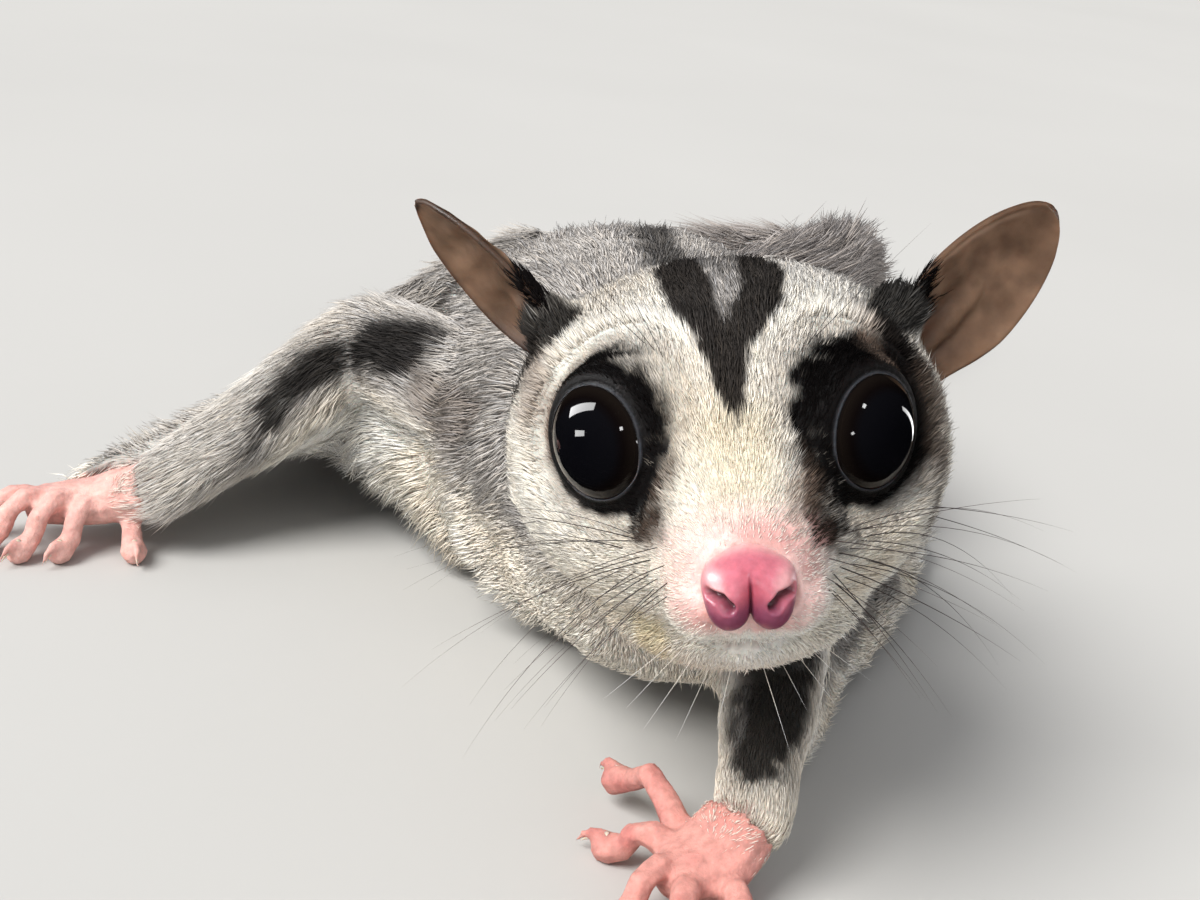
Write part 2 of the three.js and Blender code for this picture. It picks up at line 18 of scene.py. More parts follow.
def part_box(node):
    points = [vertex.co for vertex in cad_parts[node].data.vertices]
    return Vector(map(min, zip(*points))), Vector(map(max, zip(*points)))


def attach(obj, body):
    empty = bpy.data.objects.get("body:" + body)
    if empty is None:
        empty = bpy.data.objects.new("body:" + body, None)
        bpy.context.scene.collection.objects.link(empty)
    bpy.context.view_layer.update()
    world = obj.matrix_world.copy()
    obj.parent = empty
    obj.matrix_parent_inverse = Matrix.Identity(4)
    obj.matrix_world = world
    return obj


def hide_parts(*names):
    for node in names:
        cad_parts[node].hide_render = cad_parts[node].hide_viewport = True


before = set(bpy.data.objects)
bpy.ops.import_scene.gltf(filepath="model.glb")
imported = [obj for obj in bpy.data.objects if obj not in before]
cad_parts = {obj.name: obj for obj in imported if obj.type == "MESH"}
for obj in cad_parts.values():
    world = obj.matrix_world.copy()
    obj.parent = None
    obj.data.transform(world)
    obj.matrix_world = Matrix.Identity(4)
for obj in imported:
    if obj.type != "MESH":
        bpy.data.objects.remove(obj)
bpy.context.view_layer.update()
MM = 0.001

# %% [markdown]
# ## Two frames to measure in
# A face is drawn in the head's own frame: across, back and up from a point between the ears and eyes. The
# two eyeballs fix it, so it follows the solids if they move. The body is measured in millimetres from a
# point on the floor below the head. A matrix for each would do; a pair of short functions reads more
# easily.


# %% Head and body frames
def middle_of(node):
    low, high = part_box(node)
    return np.array((low + high) / 2)


EYE_AT = {1: middle_of("eye_left"), -1: middle_of("eye_right")}  # by side: 1 is the animal's left
EYE_HEIGHT = -0.6  # of the eyes in the head's frame
EYE_BACK = 2.2
EYE_SIDE = np.linalg.norm(EYE_AT[1] - EYE_AT[-1]) / 2 / MM
across = (EYE_AT[1] - EYE_AT[-1]) / np.linalg.norm(EYE_AT[1] - EYE_AT[-1])
turn = math.atan2(across[1], across[0])
back = np.array([-math.sin(turn), math.cos(turn), 0])
HEAD_AXES = np.stack([across, back, np.cross(across, back)], axis=1)
HEAD_AT = (EYE_AT[1] + EYE_AT[-1]) / 2 - HEAD_AXES @ np.array([0, EYE_BACK, EYE_HEIGHT]) * MM
HEAD_IN_BODY = np.array([-0.3, 15, 36.4])  # where the body's frame puts the head's point
BODY_AT = HEAD_AT - HEAD_IN_BODY * MM


def in_head(points):
    return (np.asarray(points, float) - HEAD_AT) @ HEAD_AXES / MM


def from_head(points):
    return HEAD_AT + np.asarray(points, float) @ HEAD_AXES.T * MM


def in_body(points):
    return (np.asarray(points, float) - BODY_AT) / MM


def from_body(points):
    return BODY_AT + np.asarray(points, float) * MM


print("eyes apart:", round(2 * EYE_SIDE, 2), "mm, head turned", round(math.degrees(turn), 2), "degrees")

# %% [markdown]
# ## The camera
# The picture is taken from in front and above, close to the animal, with the camera rolled a little. The
# lens is chosen so that the head fills the same share of the frame. A target constraint would not hold the
# roll, so the camera's axes are worked out from its pitch and roll.

# %% Camera
CAMERA_AT = (-9.6, -108.0, 80.9)  # in the body's frame
PITCH = math.radians(21)  # looking down
ROLL = math.radians(8)
PICTURE_WIDTH = 1200  # pixels
FOCAL_LENGTH = 1840  # in the same pixels
SENSOR = 36
forward = Vector((0, math.cos(PITCH), -math.sin(PITCH)))
level_right = Vector((1, 0, 0))
level_up = level_right.cross(forward)
cam_up = level_up * math.cos(ROLL) - level_right * math.sin(ROLL)
cam_right = forward.cross(cam_up)
camera_data = bpy.data.cameras.new("view")
camera_data.sensor_width = SENSOR
camera_data.lens = FOCAL_LENGTH / PICTURE_WIDTH * SENSOR
camera_data.clip_start = 0.005
camera = bpy.data.objects.new("view", camera_data)
rows = [[cam_right[i], cam_up[i], -forward[i], from_body(CAMERA_AT)[i]] for i in range(3)]
camera.matrix_world = Matrix([*rows, [0, 0, 0, 1]])
bpy.context.scene.collection.objects.link(camera)
bpy.context.scene.camera = camera
print("lens", round(camera_data.lens, 1), "mm")

# %% [markdown]
# ## Small helpers
# The coat and the markings are worked out for hundreds of thousands of points at once, so the helpers take
# whole arrays. Soft edges come from a smooth ramp. The noise is a lattice of random values blended
# smoothly, the same each run because it is seeded.


# %% Soft edges
def unit(vectors):
    return vectors / np.maximum(np.linalg.norm(vectors, axis=-1, keepdims=True), 1e-12)


def ramp(value, start, end):
    """0 before the start, 1 after the end, and smooth between them."""
    t = np.clip((value - start) / (end - start), 0, 1)
    return t * t * (3 - 2 * t)


def inside(distance, reach, blur):
    """1 within the reach and 0 outside it, blurred on both sides."""
    return 1 - ramp(distance, reach - blur, reach + blur)


def round_spot(places, centre, reach, blur, squash=1.0):
    """1 near a point and 0 away from it, with the distance squashed along each axis."""
    return inside(np.linalg.norm((places - centre) * squash, axis=1), reach, blur)


def path_distance(points, path, radii=None):
    """Distance to a bent line, less its radius there."""
    path = np.asarray(path, float)
    radii = np.zeros(len(path)) if radii is None else np.asarray(radii, float)
    best = np.full(len(points), np.inf)
    for a, b, ra, rb in zip(path[:-1], path[1:], radii[:-1], radii[1:]):
        t = np.clip((points - a) @ (b - a) / ((b - a) @ (b - a)), 0, 1)
        far = np.linalg.norm(points - a - t[:, None] * (b - a), axis=1) - (ra + t * (rb - ra))
        best = np.minimum(best, far)
    return best


# %% Noise
CELLS = 32  # of noise along each axis before it repeats
LATTICE = np.random.default_rng(11).random((CELLS, CELLS, CELLS)).astype(np.float32)
SHIFT = 7.31  # cells between one pattern and the next


def mottle(points, size, pattern=0.0):
    p = np.asarray(points) / size + pattern * SHIFT
    base = np.floor(p).astype(int)
    f = p - base
    f = f * f * (3 - 2 * f)
    total = 0
    for dx in (0, 1):
        for dy in (0, 1):
            for dz in (0, 1):
                weight = (
                    (f[:, 0] if dx else 1 - f[:, 0])
                    * (f[:, 1] if dy else 1 - f[:, 1])
                    * (f[:, 2] if dz else 1 - f[:, 2])
                )
                corner = (base + [dx, dy, dz]) % CELLS
                total = total + weight * LATTICE[corner[:, 0], corner[:, 1], corner[:, 2]]
    return total


print("noise lattice of", LATTICE.size, "values")


# %% Meshes as arrays
def arrays_of(mesh):
    """Corner points and triangles of a mesh."""
    mesh.calc_loop_triangles()
    points = np.zeros(len(mesh.vertices) * 3)
    mesh.vertices.foreach_get("co", points)
    triangles = np.zeros(len(mesh.loop_triangles) * 3, int)
    mesh.loop_triangles.foreach_get("vertices", triangles)
    return points.reshape(-1, 3), triangles.reshape(-1, 3)


def normals_of(points, triangles):
    corners = points[triangles]
    faces = np.cross(corners[:, 1] - corners[:, 0], corners[:, 2] - corners[:, 0])
    total = np.zeros_like(points)
    for corner in range(3):
        for axis in range(3):
            total[:, axis] += np.bincount(triangles[:, corner], faces[:, axis], len(points))
    return unit(total)


def links_of(triangles):
    edges = np.concatenate([triangles[:, [0, 1]], triangles[:, [1, 2]], triangles[:, [2, 0]]])
    return np.unique(np.sort(edges, axis=1), axis=0)


def spread(values, links, times, share=0.5):
    """Blends a value at each point with its neighbours' values."""
    values = np.array(values, float)
    flat = values.reshape(len(values), -1)
    count = np.bincount(links.ravel(), minlength=len(flat))
    for step in range(times):
        mean = np.zeros_like(flat)
        for column in range(flat.shape[1]):
            mean[:, column] = np.bincount(links[:, 0], flat[links[:, 1], column], len(flat))
            mean[:, column] += np.bincount(links[:, 1], flat[links[:, 0], column], len(flat))
        mean /= np.maximum(count, 1)[:, None]
        flat = flat + (mean - flat) * share
    return flat.reshape(values.shape)


# %% [markdown]
# ## One skin over the flesh
# The solids meet with thin gaps. To grow one skin, a copy of each is swollen until the gaps close, the
# copies are joined and remeshed with small voxels, and the result is smoothed. A skin modelled face by face
# would look the same, but it would not follow the solids when they change. Paws stay out: their fingers
# would grow together.

# %% Helpers for growing a skin
FLESH = [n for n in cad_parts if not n.startswith(("eye_", "ear_"))]
PAWS = [n for n in FLESH if n.startswith(("hand_", "foot_"))]
SWELL = 0.25 * MM
VOXEL = 0.5 * MM
MERGE_WITHIN = 1e-7
SHRINK, GROW = 0.55, -0.57  # shares of two smoothing steps that leave the size as it was


def merged_copy(name):
    """A solid's mesh as a bmesh with its loose triangles joined."""
    part = bmesh.new()
    part.from_mesh(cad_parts[name].data)
    bmesh.ops.remove_doubles(part, verts=part.verts, dist=MERGE_WITHIN)
    return part


def mesh_of(shape, name):
    """The bmesh as a mesh; the bmesh is freed."""
    made = bpy.data.meshes.new(name)
    shape.to_mesh(made)
    shape.free()
    return made


def remeshed(source, voxel):
    """A closed mesh of even small faces round a mesh."""
    carrier = bpy.data.objects.new("remesh", source)
    bpy.context.scene.collection.objects.link(carrier)
    remesh = carrier.modifiers.new("remesh", "REMESH")
    remesh.mode = "VOXEL"
    remesh.voxel_size = voxel
    made = bpy.data.meshes.new_from_object(carrier.evaluated_get(bpy.context.evaluated_depsgraph_get()))
    bpy.data.objects.remove(carrier)
    return made


def rounded(places, links, rounds):
    """Smooths by shrinking and growing in turn, so the form keeps its size."""
    for step in range(rounds):
        places = spread(places, links, 1, SHRINK)
        places = spread(places, links, 1, GROW)
    return places


print("flesh:", len(FLESH), "solids, of them", len(PAWS), "paws")

# %% [markdown]
# ## Soft forms
# Two forms are too soft and thin for the solids: the swelling in front of each ear, where its muscles lie,
# and the fold of gliding membrane that gathers in the crook of the outstretched right arm. Small balls
# stand for them. They are joined to the copies before the remesh, which melts them into the skin.

# %% Join and remesh
joined = bmesh.new()
for name in FLESH:
    if name in PAWS:
        continue
    part = merged_copy(name)
    part.normal_update()
    for vert in part.verts:
        vert.co += vert.normal * SWELL
    swollen = mesh_of(part, "swollen")
    joined.from_mesh(swollen)
    bpy.data.meshes.remove(swollen)
EAR_SWELLING = ((13.1, 12.6, 4.6), (2.7, 3.0, 2.6))  # middle in the head's frame, and half its size
FOLD = np.array([(-20, 62, 8.6), (-28.5, 70, 10.1), (-36, 72.4, 12.2), (-43, 67, 11.7)])
FOLD_HALF = np.array([(6.5, 8.0), (6.0, 6.7), (4.6, 5.2), (2.8, 3.6)])  # half its width and height there
FOLD_BALLS = 13
soft_forms = [(from_head(np.array(EAR_SWELLING[0]) * [side, 1, 1]), EAR_SWELLING[1]) for side in (1, -1)]
for t in np.linspace(0, len(FOLD) - 1, FOLD_BALLS):
    at = [np.interp(t, range(len(FOLD)), FOLD[:, k]) for k in range(3)]
    wide, high = (np.interp(t, range(len(FOLD)), FOLD_HALF[:, k]) for k in range(2))
    soft_forms.append((from_body(at), (wide, wide, high)))
for at, radii in soft_forms:
    form = Matrix.Translation(Vector(at)) @ Matrix.Diagonal((*(r * MM for r in radii), 1))
    bmesh.ops.create_icosphere(joined, subdivisions=3, radius=1, matrix=form)
ROUNDS = 14  # of smoothing, which clears the voxels' steps
hide_mesh = remeshed(mesh_of(joined, "flesh"), VOXEL)
points, triangles = arrays_of(hide_mesh)
links = links_of(triangles)
points = spread(rounded(points, links, ROUNDS), links, 3)
hide_mesh.vertices.foreach_set("co", points.ravel())
print("remeshed skin:", len(points), "points,", len(triangles), "triangles")

# %% [markdown]
# ## Fewer faces where the coat hides them
# The face and the paws need small faces; the back and the tail don't. A decimate modifier with a vertex
# group thins the hidden parts and keeps the rest. Fewer voxels from the start would blur the face as well.

# %% Thin the skin
TRIANGLES_KEPT = 112000
LEVELS = 10  # steps of weight between face and back
hide = bpy.data.objects.new("skin", hide_mesh)
bpy.context.scene.collection.objects.link(hide)
face_near = round_spot(in_head(points), [0, -4, -5], 17, 3)
group = hide.vertex_groups.new(name="hidden")
for level in range(LEVELS + 1):
    chosen = np.nonzero(np.round((1 - face_near) * LEVELS) == level)[0]
    group.add(chosen.tolist(), level / LEVELS, "REPLACE")
thin = hide.modifiers.new("thin", "DECIMATE")
thin.ratio = min(1, TRIANGLES_KEPT / len(triangles))
thin.vertex_group = "hidden"
thin.vertex_group_factor = 1
thin_mesh = bpy.data.meshes.new_from_object(hide.evaluated_get(bpy.context.evaluated_depsgraph_get()))
bpy.data.objects.remove(hide)
points, triangles = arrays_of(thin_mesh)
points = spread(points, links_of(triangles), 1, 0.3)
print("thinned skin:", len(points), "points,", len(triangles), "triangles")

# %% [markdown]
# ## Paws
# Hands and feet are bare, and fingers lie close together, so they aren't swollen. Each is remeshed with
# finer voxels, smoothed, and joined to the skin inside the fur of its wrist. Uneven swellings stand for
# knuckles and pads. Swelling the paws with the rest would web the fingers.

# %% Fine paws
PAW_VOXEL = 0.3 * MM
PAW_ROUNDS = 9
for name in PAWS:
    paw_points, paw_triangles = arrays_of(remeshed(mesh_of(merged_copy(name), "paw"), PAW_VOXEL))
    paw_points = rounded(paw_points, links_of(paw_triangles), PAW_ROUNDS)
    paw_normals = normals_of(paw_points, paw_triangles)
    paw_body = in_body(paw_points)
    knots = 0.16 * (mottle(paw_body, 1.9, 33) - 0.5) + 0.07 * (mottle(paw_body, 0.8, 34) - 0.5)
    paw_points = paw_points + paw_normals * (knots * ramp(paw_body[:, 2], 0.3, 1.2) * MM)[:, None]
    triangles = np.concatenate([triangles, paw_triangles + len(points)])
    points = np.concatenate([points, paw_points])
    print(name, len(paw_triangles), "triangles")

# %% [markdown]
# ## Which part each point belongs to
# Fur differs from one part of the body to the next, but the remeshed skin has lost its parts. They could be
# painted on by hand as vertex groups. Here each point takes the part of the solid nearest to it, which a
# search tree finds quickly, and which still holds when a solid moves.

# %% Which part each point belongs to
part_names, part_points, part_faces, face_part = [], [], [], []
start = 0
for name in FLESH:
    node_points, node_triangles = arrays_of(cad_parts[name].data)
    part_points.append(node_points)
    part_faces.append(node_triangles + start)
    face_part += [len(part_names)] * len(node_triangles)
    part_names.append(name)
    start += len(node_points)
flesh_tree = BVHTree.FromPolygons(
    np.concatenate(part_points).tolist(), np.concatenate(part_faces).tolist()
)
face_part = np.array(face_part)


def parts_near(places):
    return face_part[[flesh_tree.find_nearest(p)[2] for p in places.tolist()]]


skin_part = parts_near(points)
print({name: int((skin_part == i).sum()) for i, name in enumerate(part_names)})

# %% [markdown]
# ## How the coat grows, part by part
# A glider's fur is dense, fine and soft: a millimetre or two long on the face, five or six on the back,
# longer still on the tail, and hardly there on the hands. Each part gets the coat's depth over the skin,
# the tufts' length and width, how far they stand off and how closely they grow. The values are then blended
# over the skin, so no part shows where it ends.

# %% Coat values
# depth, length, width, stand-off, tufts per square millimetre
COAT = {
    "head": (0.7, 2.1, 0.092, 0.25, 31.0),
    "nose": (0.25, 0.6, 0.1, 0.3, 0.0),
    "neck": (1.5, 4.8, 0.12, 0.24, 11.0),
    "torso": (1.6, 5.3, 0.13, 0.24, 7.9),
    "upper_arm": (1.2, 4.0, 0.11, 0.25, 13.5),
    "forearm": (0.8, 3.1, 0.095, 0.25, 17.0),
    "hand": (0.04, 1.5, 0.085, 0.12, 20.0),
    "thigh": (1.5, 5.0, 0.15, 0.25, 6.6),
    "shank": (0.9, 3.6, 0.14, 0.25, 8.0),
    "foot": (0.04, 1.5, 0.085, 0.12, 16.0),
    "patagium": (0.3, 3.3, 0.14, 0.2, 6.6),
    "tail": (2.4, 7.6, 0.16, 0.32, 6.2),
}


def kind_of(name):
    return next(k for k in COAT if name.startswith(k))


def of_kind(parts, *kinds):
    """Which points lie on a part of one of these kinds."""
    return np.isin(parts, [i for i, n in enumerate(part_names) if kind_of(n) in kinds])


BLEND_STEPS = 30
WRISTS = [(-51.8, 58.6, 6.8), (6, 14.6, 6), (-31, 111, 5.2), (16.5, 112, 5.2)]
links = links_of(triangles)
coat_values = np.array([COAT[kind_of(n)] for n in part_names])[skin_part]
coat_values = spread(coat_values, links, BLEND_STEPS)
coat_depth, coat_length, coat_width, coat_rise, coat_count = coat_values.T
from_wrist = np.min([np.linalg.norm(in_body(points) - wrist, axis=1) for wrist in WRISTS], axis=0)
on_paw = of_kind(skin_part, "hand", "foot")
coat_depth[:] = np.where(on_paw, coat_depth, coat_depth * (0.25 + 0.75 * ramp(from_wrist, 2, 9)))
coat_count[:] = np.where(on_paw, coat_count * inside(from_wrist, 4.2, 1.4), coat_count)
print("coat depth from", round(coat_depth.min(), 2), "to", round(coat_depth.max(), 2), "mm")

# %% [markdown]
# ## The lie of the coat
# Fur runs away from the nose on the head, to the rear on the trunk, and along each limb and the tail to its
# end. Combing each hair by hand would take days. Here each part has its direction, and the directions are
# blended over the skin where parts meet.

# %% Lines that the fur follows
PAW_CENTRES = {
    "hand_right": [-61, 55.5, 3],
    "hand_left": [0.5, 10.5, 3],
    "foot_right": [-36, 99, 3],
    "foot_left": [21.5, 100, 3],
}
BONES = {
    "upper_arm_right": ((-14, 52, 20), (-34, 72, 20)),
    "forearm_right": ((-34, 72, 20), (-51.8, 58.6, 6.8)),
    "upper_arm_left": ((13.5, 57, 21), (8.4, 43.5, 9.5)),
    "forearm_left": ((8.4, 43.5, 9.5), (6, 14.6, 6)),
    "thigh_right": ((-18, 104, 16), (-31, 86, 16.5)),
    "shank_right": ((-31, 86, 16.5), (-31, 111, 5.2)),
    "thigh_left": ((4, 104, 16), (17, 87, 16.5)),
    "shank_left": ((17, 87, 16.5), (16.5, 112, 5.2)),
}
TAIL_LINE = np.array(
    [
        *[(-4.6, 120, 12), (4, 132, 12.4), (14, 143, 13.4), (20.8, 155, 13.6), (21.4, 168, 9)],
        *[(12, 175.4, 6.8), (0, 168.5, 6.7), (-11, 157, 6.6)],
        *[(-22, 146, 6.2), (-32, 136, 5.5), (-40, 125, 3.6)],
    ],
    float,
)
SPINE = np.array(
    [(-0.2, 27), (-0.4, 35), (-0.8, 43), (-2.8, 52), (-4.8, 64), (-6, 80), (-7, 97), (-6.6, 112), (-4, 129)]
)
NOSE_TIP = (0, -14, -5.5)
HALF_TRUNK = 22


def spine_x(y):
    return np.interp(y, SPINE[:, 1], SPINE[:, 0])


print("tail line:", round(np.linalg.norm(np.diff(TAIL_LINE, axis=0), axis=1).sum(), 1), "mm")


# %% Direction at each point
def lie_of(places, parts):
    head, body = in_head(places), in_body(places)
    lie = np.tile([0.0, 1.0, 0.0], (len(places), 1))
    for index, name in enumerate(part_names):
        own = parts == index
        kind = kind_of(name)
        if not own.any():
            continue
        if kind in ("head", "nose"):
            lie[own] = unit(head[own] - NOSE_TIP) @ HEAD_AXES.T
        elif kind in ("neck", "torso"):
            side = (body[own, 0] - spine_x(body[own, 1])) / HALF_TRUNK
            lie[own] = np.stack([side * 0.5, np.ones(own.sum()), -0.25 - 0.5 * np.abs(side)], axis=1)
        elif name in BONES:
            lie[own] = np.subtract(BONES[name][1], BONES[name][0])
        elif kind == "tail":
            steps = TAIL_LINE[1:] - TAIL_LINE[:-1]
            mids = (TAIL_LINE[1:] + TAIL_LINE[:-1]) / 2
            near = np.linalg.norm(body[own, None] - mids, axis=2).argsort(axis=1)[:, :2]
            lie[own] = steps[near].sum(axis=1)
        elif kind == "patagium":
            outward = -1 if name.endswith("right") else 1
            lie[own] = (outward, 0.9, -0.3)
        else:
            lie[own] = np.subtract(PAW_CENTRES[name], body[own]) * (0.2, 0.2, 0) + (0, -0.6, 0)
    return unit(lie)


lie = unit(spread(lie_of(points, skin_part), links, 20))
print("fur on the back lies", np.round(lie[of_kind(skin_part, "torso")].mean(axis=0), 2))

# %% [markdown]
# ## The face's modelling
# The skin sinks below the solids by the depth of the coat, so that the tufts' tips come out where the
# solids end. Then the face is worked over like clay: the fold of the mouth and the split under the nose. It
# could be sculpted by hand. Moving points along their normals by amounts drawn in the head's frame keeps
# both sides even.

# %% Sink and model the skin
normals = normals_of(points, triangles)
muzzle = round_spot(in_head(points), [0, -12, -6.5], 5.5, 2.5, [1, 1, 1.1])
coat_depth = coat_depth * (1 - 0.75 * muzzle)
points = points - normals * coat_depth[:, None] * MM


def mouth_height(x, y):
    """Height of the line of the mouth: lowest under the nose, curling up at the corners."""
    return -10.4 - 1.2 * np.sin(np.clip((y + 14) / 13, 0, 1) * math.pi) + 0.25 * np.exp(-((x / 1.2) ** 2))


x, y, z = in_head(points).T
on_head = of_kind(skin_part, "head")
mouth = inside(np.abs(z - mouth_height(x, y)), 0.35, 0.35) * inside(y, -1.5, 1.5) * on_head
lip = inside(np.abs(z - mouth_height(x, y) - 0.9), 0.7, 0.6) * inside(y, -3, 2.5) * on_head
split = inside(np.abs(x), 0.22, 0.25) * inside(np.abs(z + 9.2), 1.0, 0.5) * inside(y, -9, 1)
normals = normals_of(points, triangles)
points = points - normals * ((0.4 * mouth - 0.22 * lip + 0.3 * split) * MM)[:, None]
under_pad = round_spot(in_head(points), [0, -14.0, -5.6], 2.6, 0.5, [0.8, 1, 0.9])
points = points + (from_head([0, -12.2, -5.6]) - points) * (0.5 * under_pad)[:, None]
print("mouth line drawn over", int((mouth > 0.3).sum()), "points")

# %% [markdown]
# ## Eye sockets
# A glider's eyes bulge from shallow sockets, and the lids hug them. The depth of the face round each eye is
# measured with rays along the gaze. It sets the surface of the lid, and the skin is pressed under that
# surface, off the ball. Cutting a hole in the skin would do too, but its edge could show between lid and
# coat.

# %% Measure round the eyes
EYE_RADIUS = (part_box("eye_left")[1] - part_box("eye_left")[0]).x / 2 / MM
GAZE_OUT, GAZE_UP = math.radians(41), math.radians(8)
LID_INNER = 4.0  # where the lid leaves the ball
CREST = 4.6  # where the lid's rim stands highest
LID_REACH = 7.8  # where the lid has run out into the face
RIM_STEPS = 96
RAY_FROM = 14  # a ray's start, ahead of the middle of the eye


def eye_axes(side):
    """Gaze, towards the nose, and up the lid, in the head's frame."""
    level = math.cos(GAZE_UP)
    gaze = np.array([side * math.sin(GAZE_OUT) * level, -math.cos(GAZE_OUT) * level, math.sin(GAZE_UP)])
    rise = unit(np.array([0, 0, 1]) - gaze * gaze[2])
    return gaze, np.cross(gaze, rise) * side, rise


def round_eye(side, places):
    """Distance from the gaze line, angle round it from the inner corner, and depth along it."""
    gaze, inner, rise = eye_axes(side)
    offset = in_head(places) - in_head(EYE_AT[side])
    a, b = offset @ inner, offset @ rise
    return np.hypot(a, b), np.arctan2(b, a), offset @ gaze


skin_tree = BVHTree.FromPolygons(points.tolist(), triangles.tolist())


def face_depth(side, angle, reach):
    """Depth of the face along the gaze, at a reach from it and an angle round it."""
    gaze, inner, rise = eye_axes(side)
    spoke = inner * math.cos(angle) + rise * math.sin(angle)
    start = from_head(in_head(EYE_AT[side]) + spoke * reach + gaze * RAY_FROM)
    hit = skin_tree.ray_cast(Vector(start), Vector(HEAD_AXES @ -gaze))
    return RAY_FROM - hit[3] / MM if hit[0] else 0.0


rim_depth = {}
for side in (1, -1):
    ring = np.array([face_depth(side, 2 * math.pi * k / RIM_STEPS, LID_REACH) for k in range(RIM_STEPS)])
    for step in range(6):
        ring = (np.roll(ring, 1) + 2 * ring + np.roll(ring, -1)) / 4
    rim_depth[side] = ring
    print("face round eye", side, "depth", np.round(ring[::12], 1))


# %% Press the skin under the lids
LID_RISE = 3.55  # of the crest over the middle of the eye
BALL_GAP = 0.06  # between ball and lid
SOCKET_GAP = 0.45  # between ball and skin


def lid_depth(side, reach, angle):
    """Depth of the lid's surface along the gaze: over the ball, up to the rim, then out to the face."""
    turn_share = (angle / (2 * math.pi)) % 1 * RIM_STEPS
    low = np.floor(turn_share).astype(int) % RIM_STEPS
    part = turn_share - np.floor(turn_share)
    face = rim_depth[side][low] * (1 - part) + rim_depth[side][(low + 1) % RIM_STEPS] * part
    over_ball = np.sqrt(np.maximum(EYE_RADIUS**2 - np.minimum(reach, EYE_RADIUS) ** 2, 0)) + BALL_GAP
    crest = LID_RISE + 0.12 * np.sin(angle)
    outer_slope = crest - 0.9 * np.maximum(reach - CREST, 0) ** 1.3
    rim = np.where(reach < CREST, np.maximum(over_ball, crest - 1.4 * (CREST - reach) ** 2), outer_slope)
    return rim + (face - rim) * ramp(reach, CREST + 0.1, LID_REACH)


for side in (1, -1):
    reach, angle, depth = round_eye(side, points)
    near = (depth > -3) & (reach < LID_REACH)
    under = lid_depth(side, reach, angle) - 0.3 * (1 - ramp(reach, LID_REACH - 1.2, LID_REACH))
    sink = np.where(near & (reach > LID_INNER), np.minimum(under - depth, 0), 0)
    points = points + HEAD_AXES @ eye_axes(side)[0] * (sink * MM)[:, None]
    offset = points - EYE_AT[side]
    touching = near & (np.linalg.norm(offset, axis=1) / MM < EYE_RADIUS + SOCKET_GAP)
    points[touching] = EYE_AT[side] + unit(offset[touching]) * (EYE_RADIUS + SOCKET_GAP) * MM
    print("eye", side, "lid presses", int((sink < 0).sum()), "points, ball", int(touching.sum()))

# %% [markdown]
# ## Eyelids
# Each lid is a soft ring round the eyeball that turns into the face. A short profile spun round the line of
# the gaze makes it, and its points are then set to depths that follow the ball on the inside and the face
# on the outside. At the inner corner the ring is drawn out toward the nose. A torus would be quicker, but
# its round edge would stand off the face.


# %% Lids
LID_PROFILE = [LID_INNER, 4.07, 4.16, 4.28, 4.45, 4.7, 4.95, 5.2, 5.5, 5.85, 6.3, 6.8, 7.3, 7.9]


def lid_ring(side):
    gaze, inner, rise = eye_axes(side)
    ring = bmesh.new()
    row = [ring.verts.new((r, 0, 0)) for r in LID_PROFILE]
    edges = [ring.edges.new(pair) for pair in zip(row[:-1], row[1:])]
    full = dict(axis=(0, 0, 1), cent=(0, 0, 0), angle=2 * math.pi, steps=RIM_STEPS, use_merge=True)
    bmesh.ops.spin(ring, geom=row + edges, **full)
    bmesh.ops.remove_doubles(ring, verts=ring.verts, dist=1e-5)
    flat = np.array([v.co for v in ring.verts])
    reach, angle = np.hypot(flat[:, 0], flat[:, 1]), np.arctan2(flat[:, 1], flat[:, 0])
    depth = lid_depth(side, reach, angle) - 0.2 * ramp(reach, 7.3, 7.9)
    depth = np.where(reach < LID_INNER + 0.05, depth - 0.5, depth)
    corner = np.exp(-(((angle + 0.35) / 0.3) ** 2)) * inside(reach, 5.0, 0.8)
    low = np.exp(-(((angle + 1.5) / 0.9) ** 2)) * inside(reach, 5.1, 0.9)
    stretched = reach + 0.12 * corner + 0.1 * low
    depth = depth - 0.1 * corner
    spoke = np.cos(angle)[:, None] * inner + np.sin(angle)[:, None] * rise
    places = from_head(in_head(EYE_AT[side]) + spoke * stretched[:, None] + gaze * depth[:, None])
    for vert, place in zip(ring.verts, places):
        vert.co = place
    bmesh.ops.recalc_face_normals(ring, faces=ring.faces)
    outward = sum((f.normal for f in ring.faces), Vector()) @ Vector(HEAD_AXES @ gaze)
    if outward < 0:
        bmesh.ops.reverse_faces(ring, faces=ring.faces)
    bmesh.ops.triangulate(ring, faces=ring.faces)
    return arrays_of(mesh_of(ring, "lid"))


bare_count = len(points)
for side in (1, -1):
    lid_points, lid_triangles = lid_ring(side)
    triangles = np.concatenate([triangles, lid_triangles + len(points)])
    points = np.concatenate([points, lid_points])
lid_count = len(points) - bare_count
skin_on_lid = np.arange(len(points)) >= bare_count
skin_part = np.concatenate([skin_part, np.full(lid_count, part_names.index("head"))])
coat_values = np.concatenate([coat_values, np.tile(COAT["head"], (lid_count, 1))])
coat_length, coat_width, coat_rise, coat_count = coat_values.T[1:]
lie = np.concatenate([lie, lie_of(points[bare_count:], skin_part[bare_count:])])
normals = normals_of(points, triangles)
print("skin with lids:", len(triangles), "triangles")
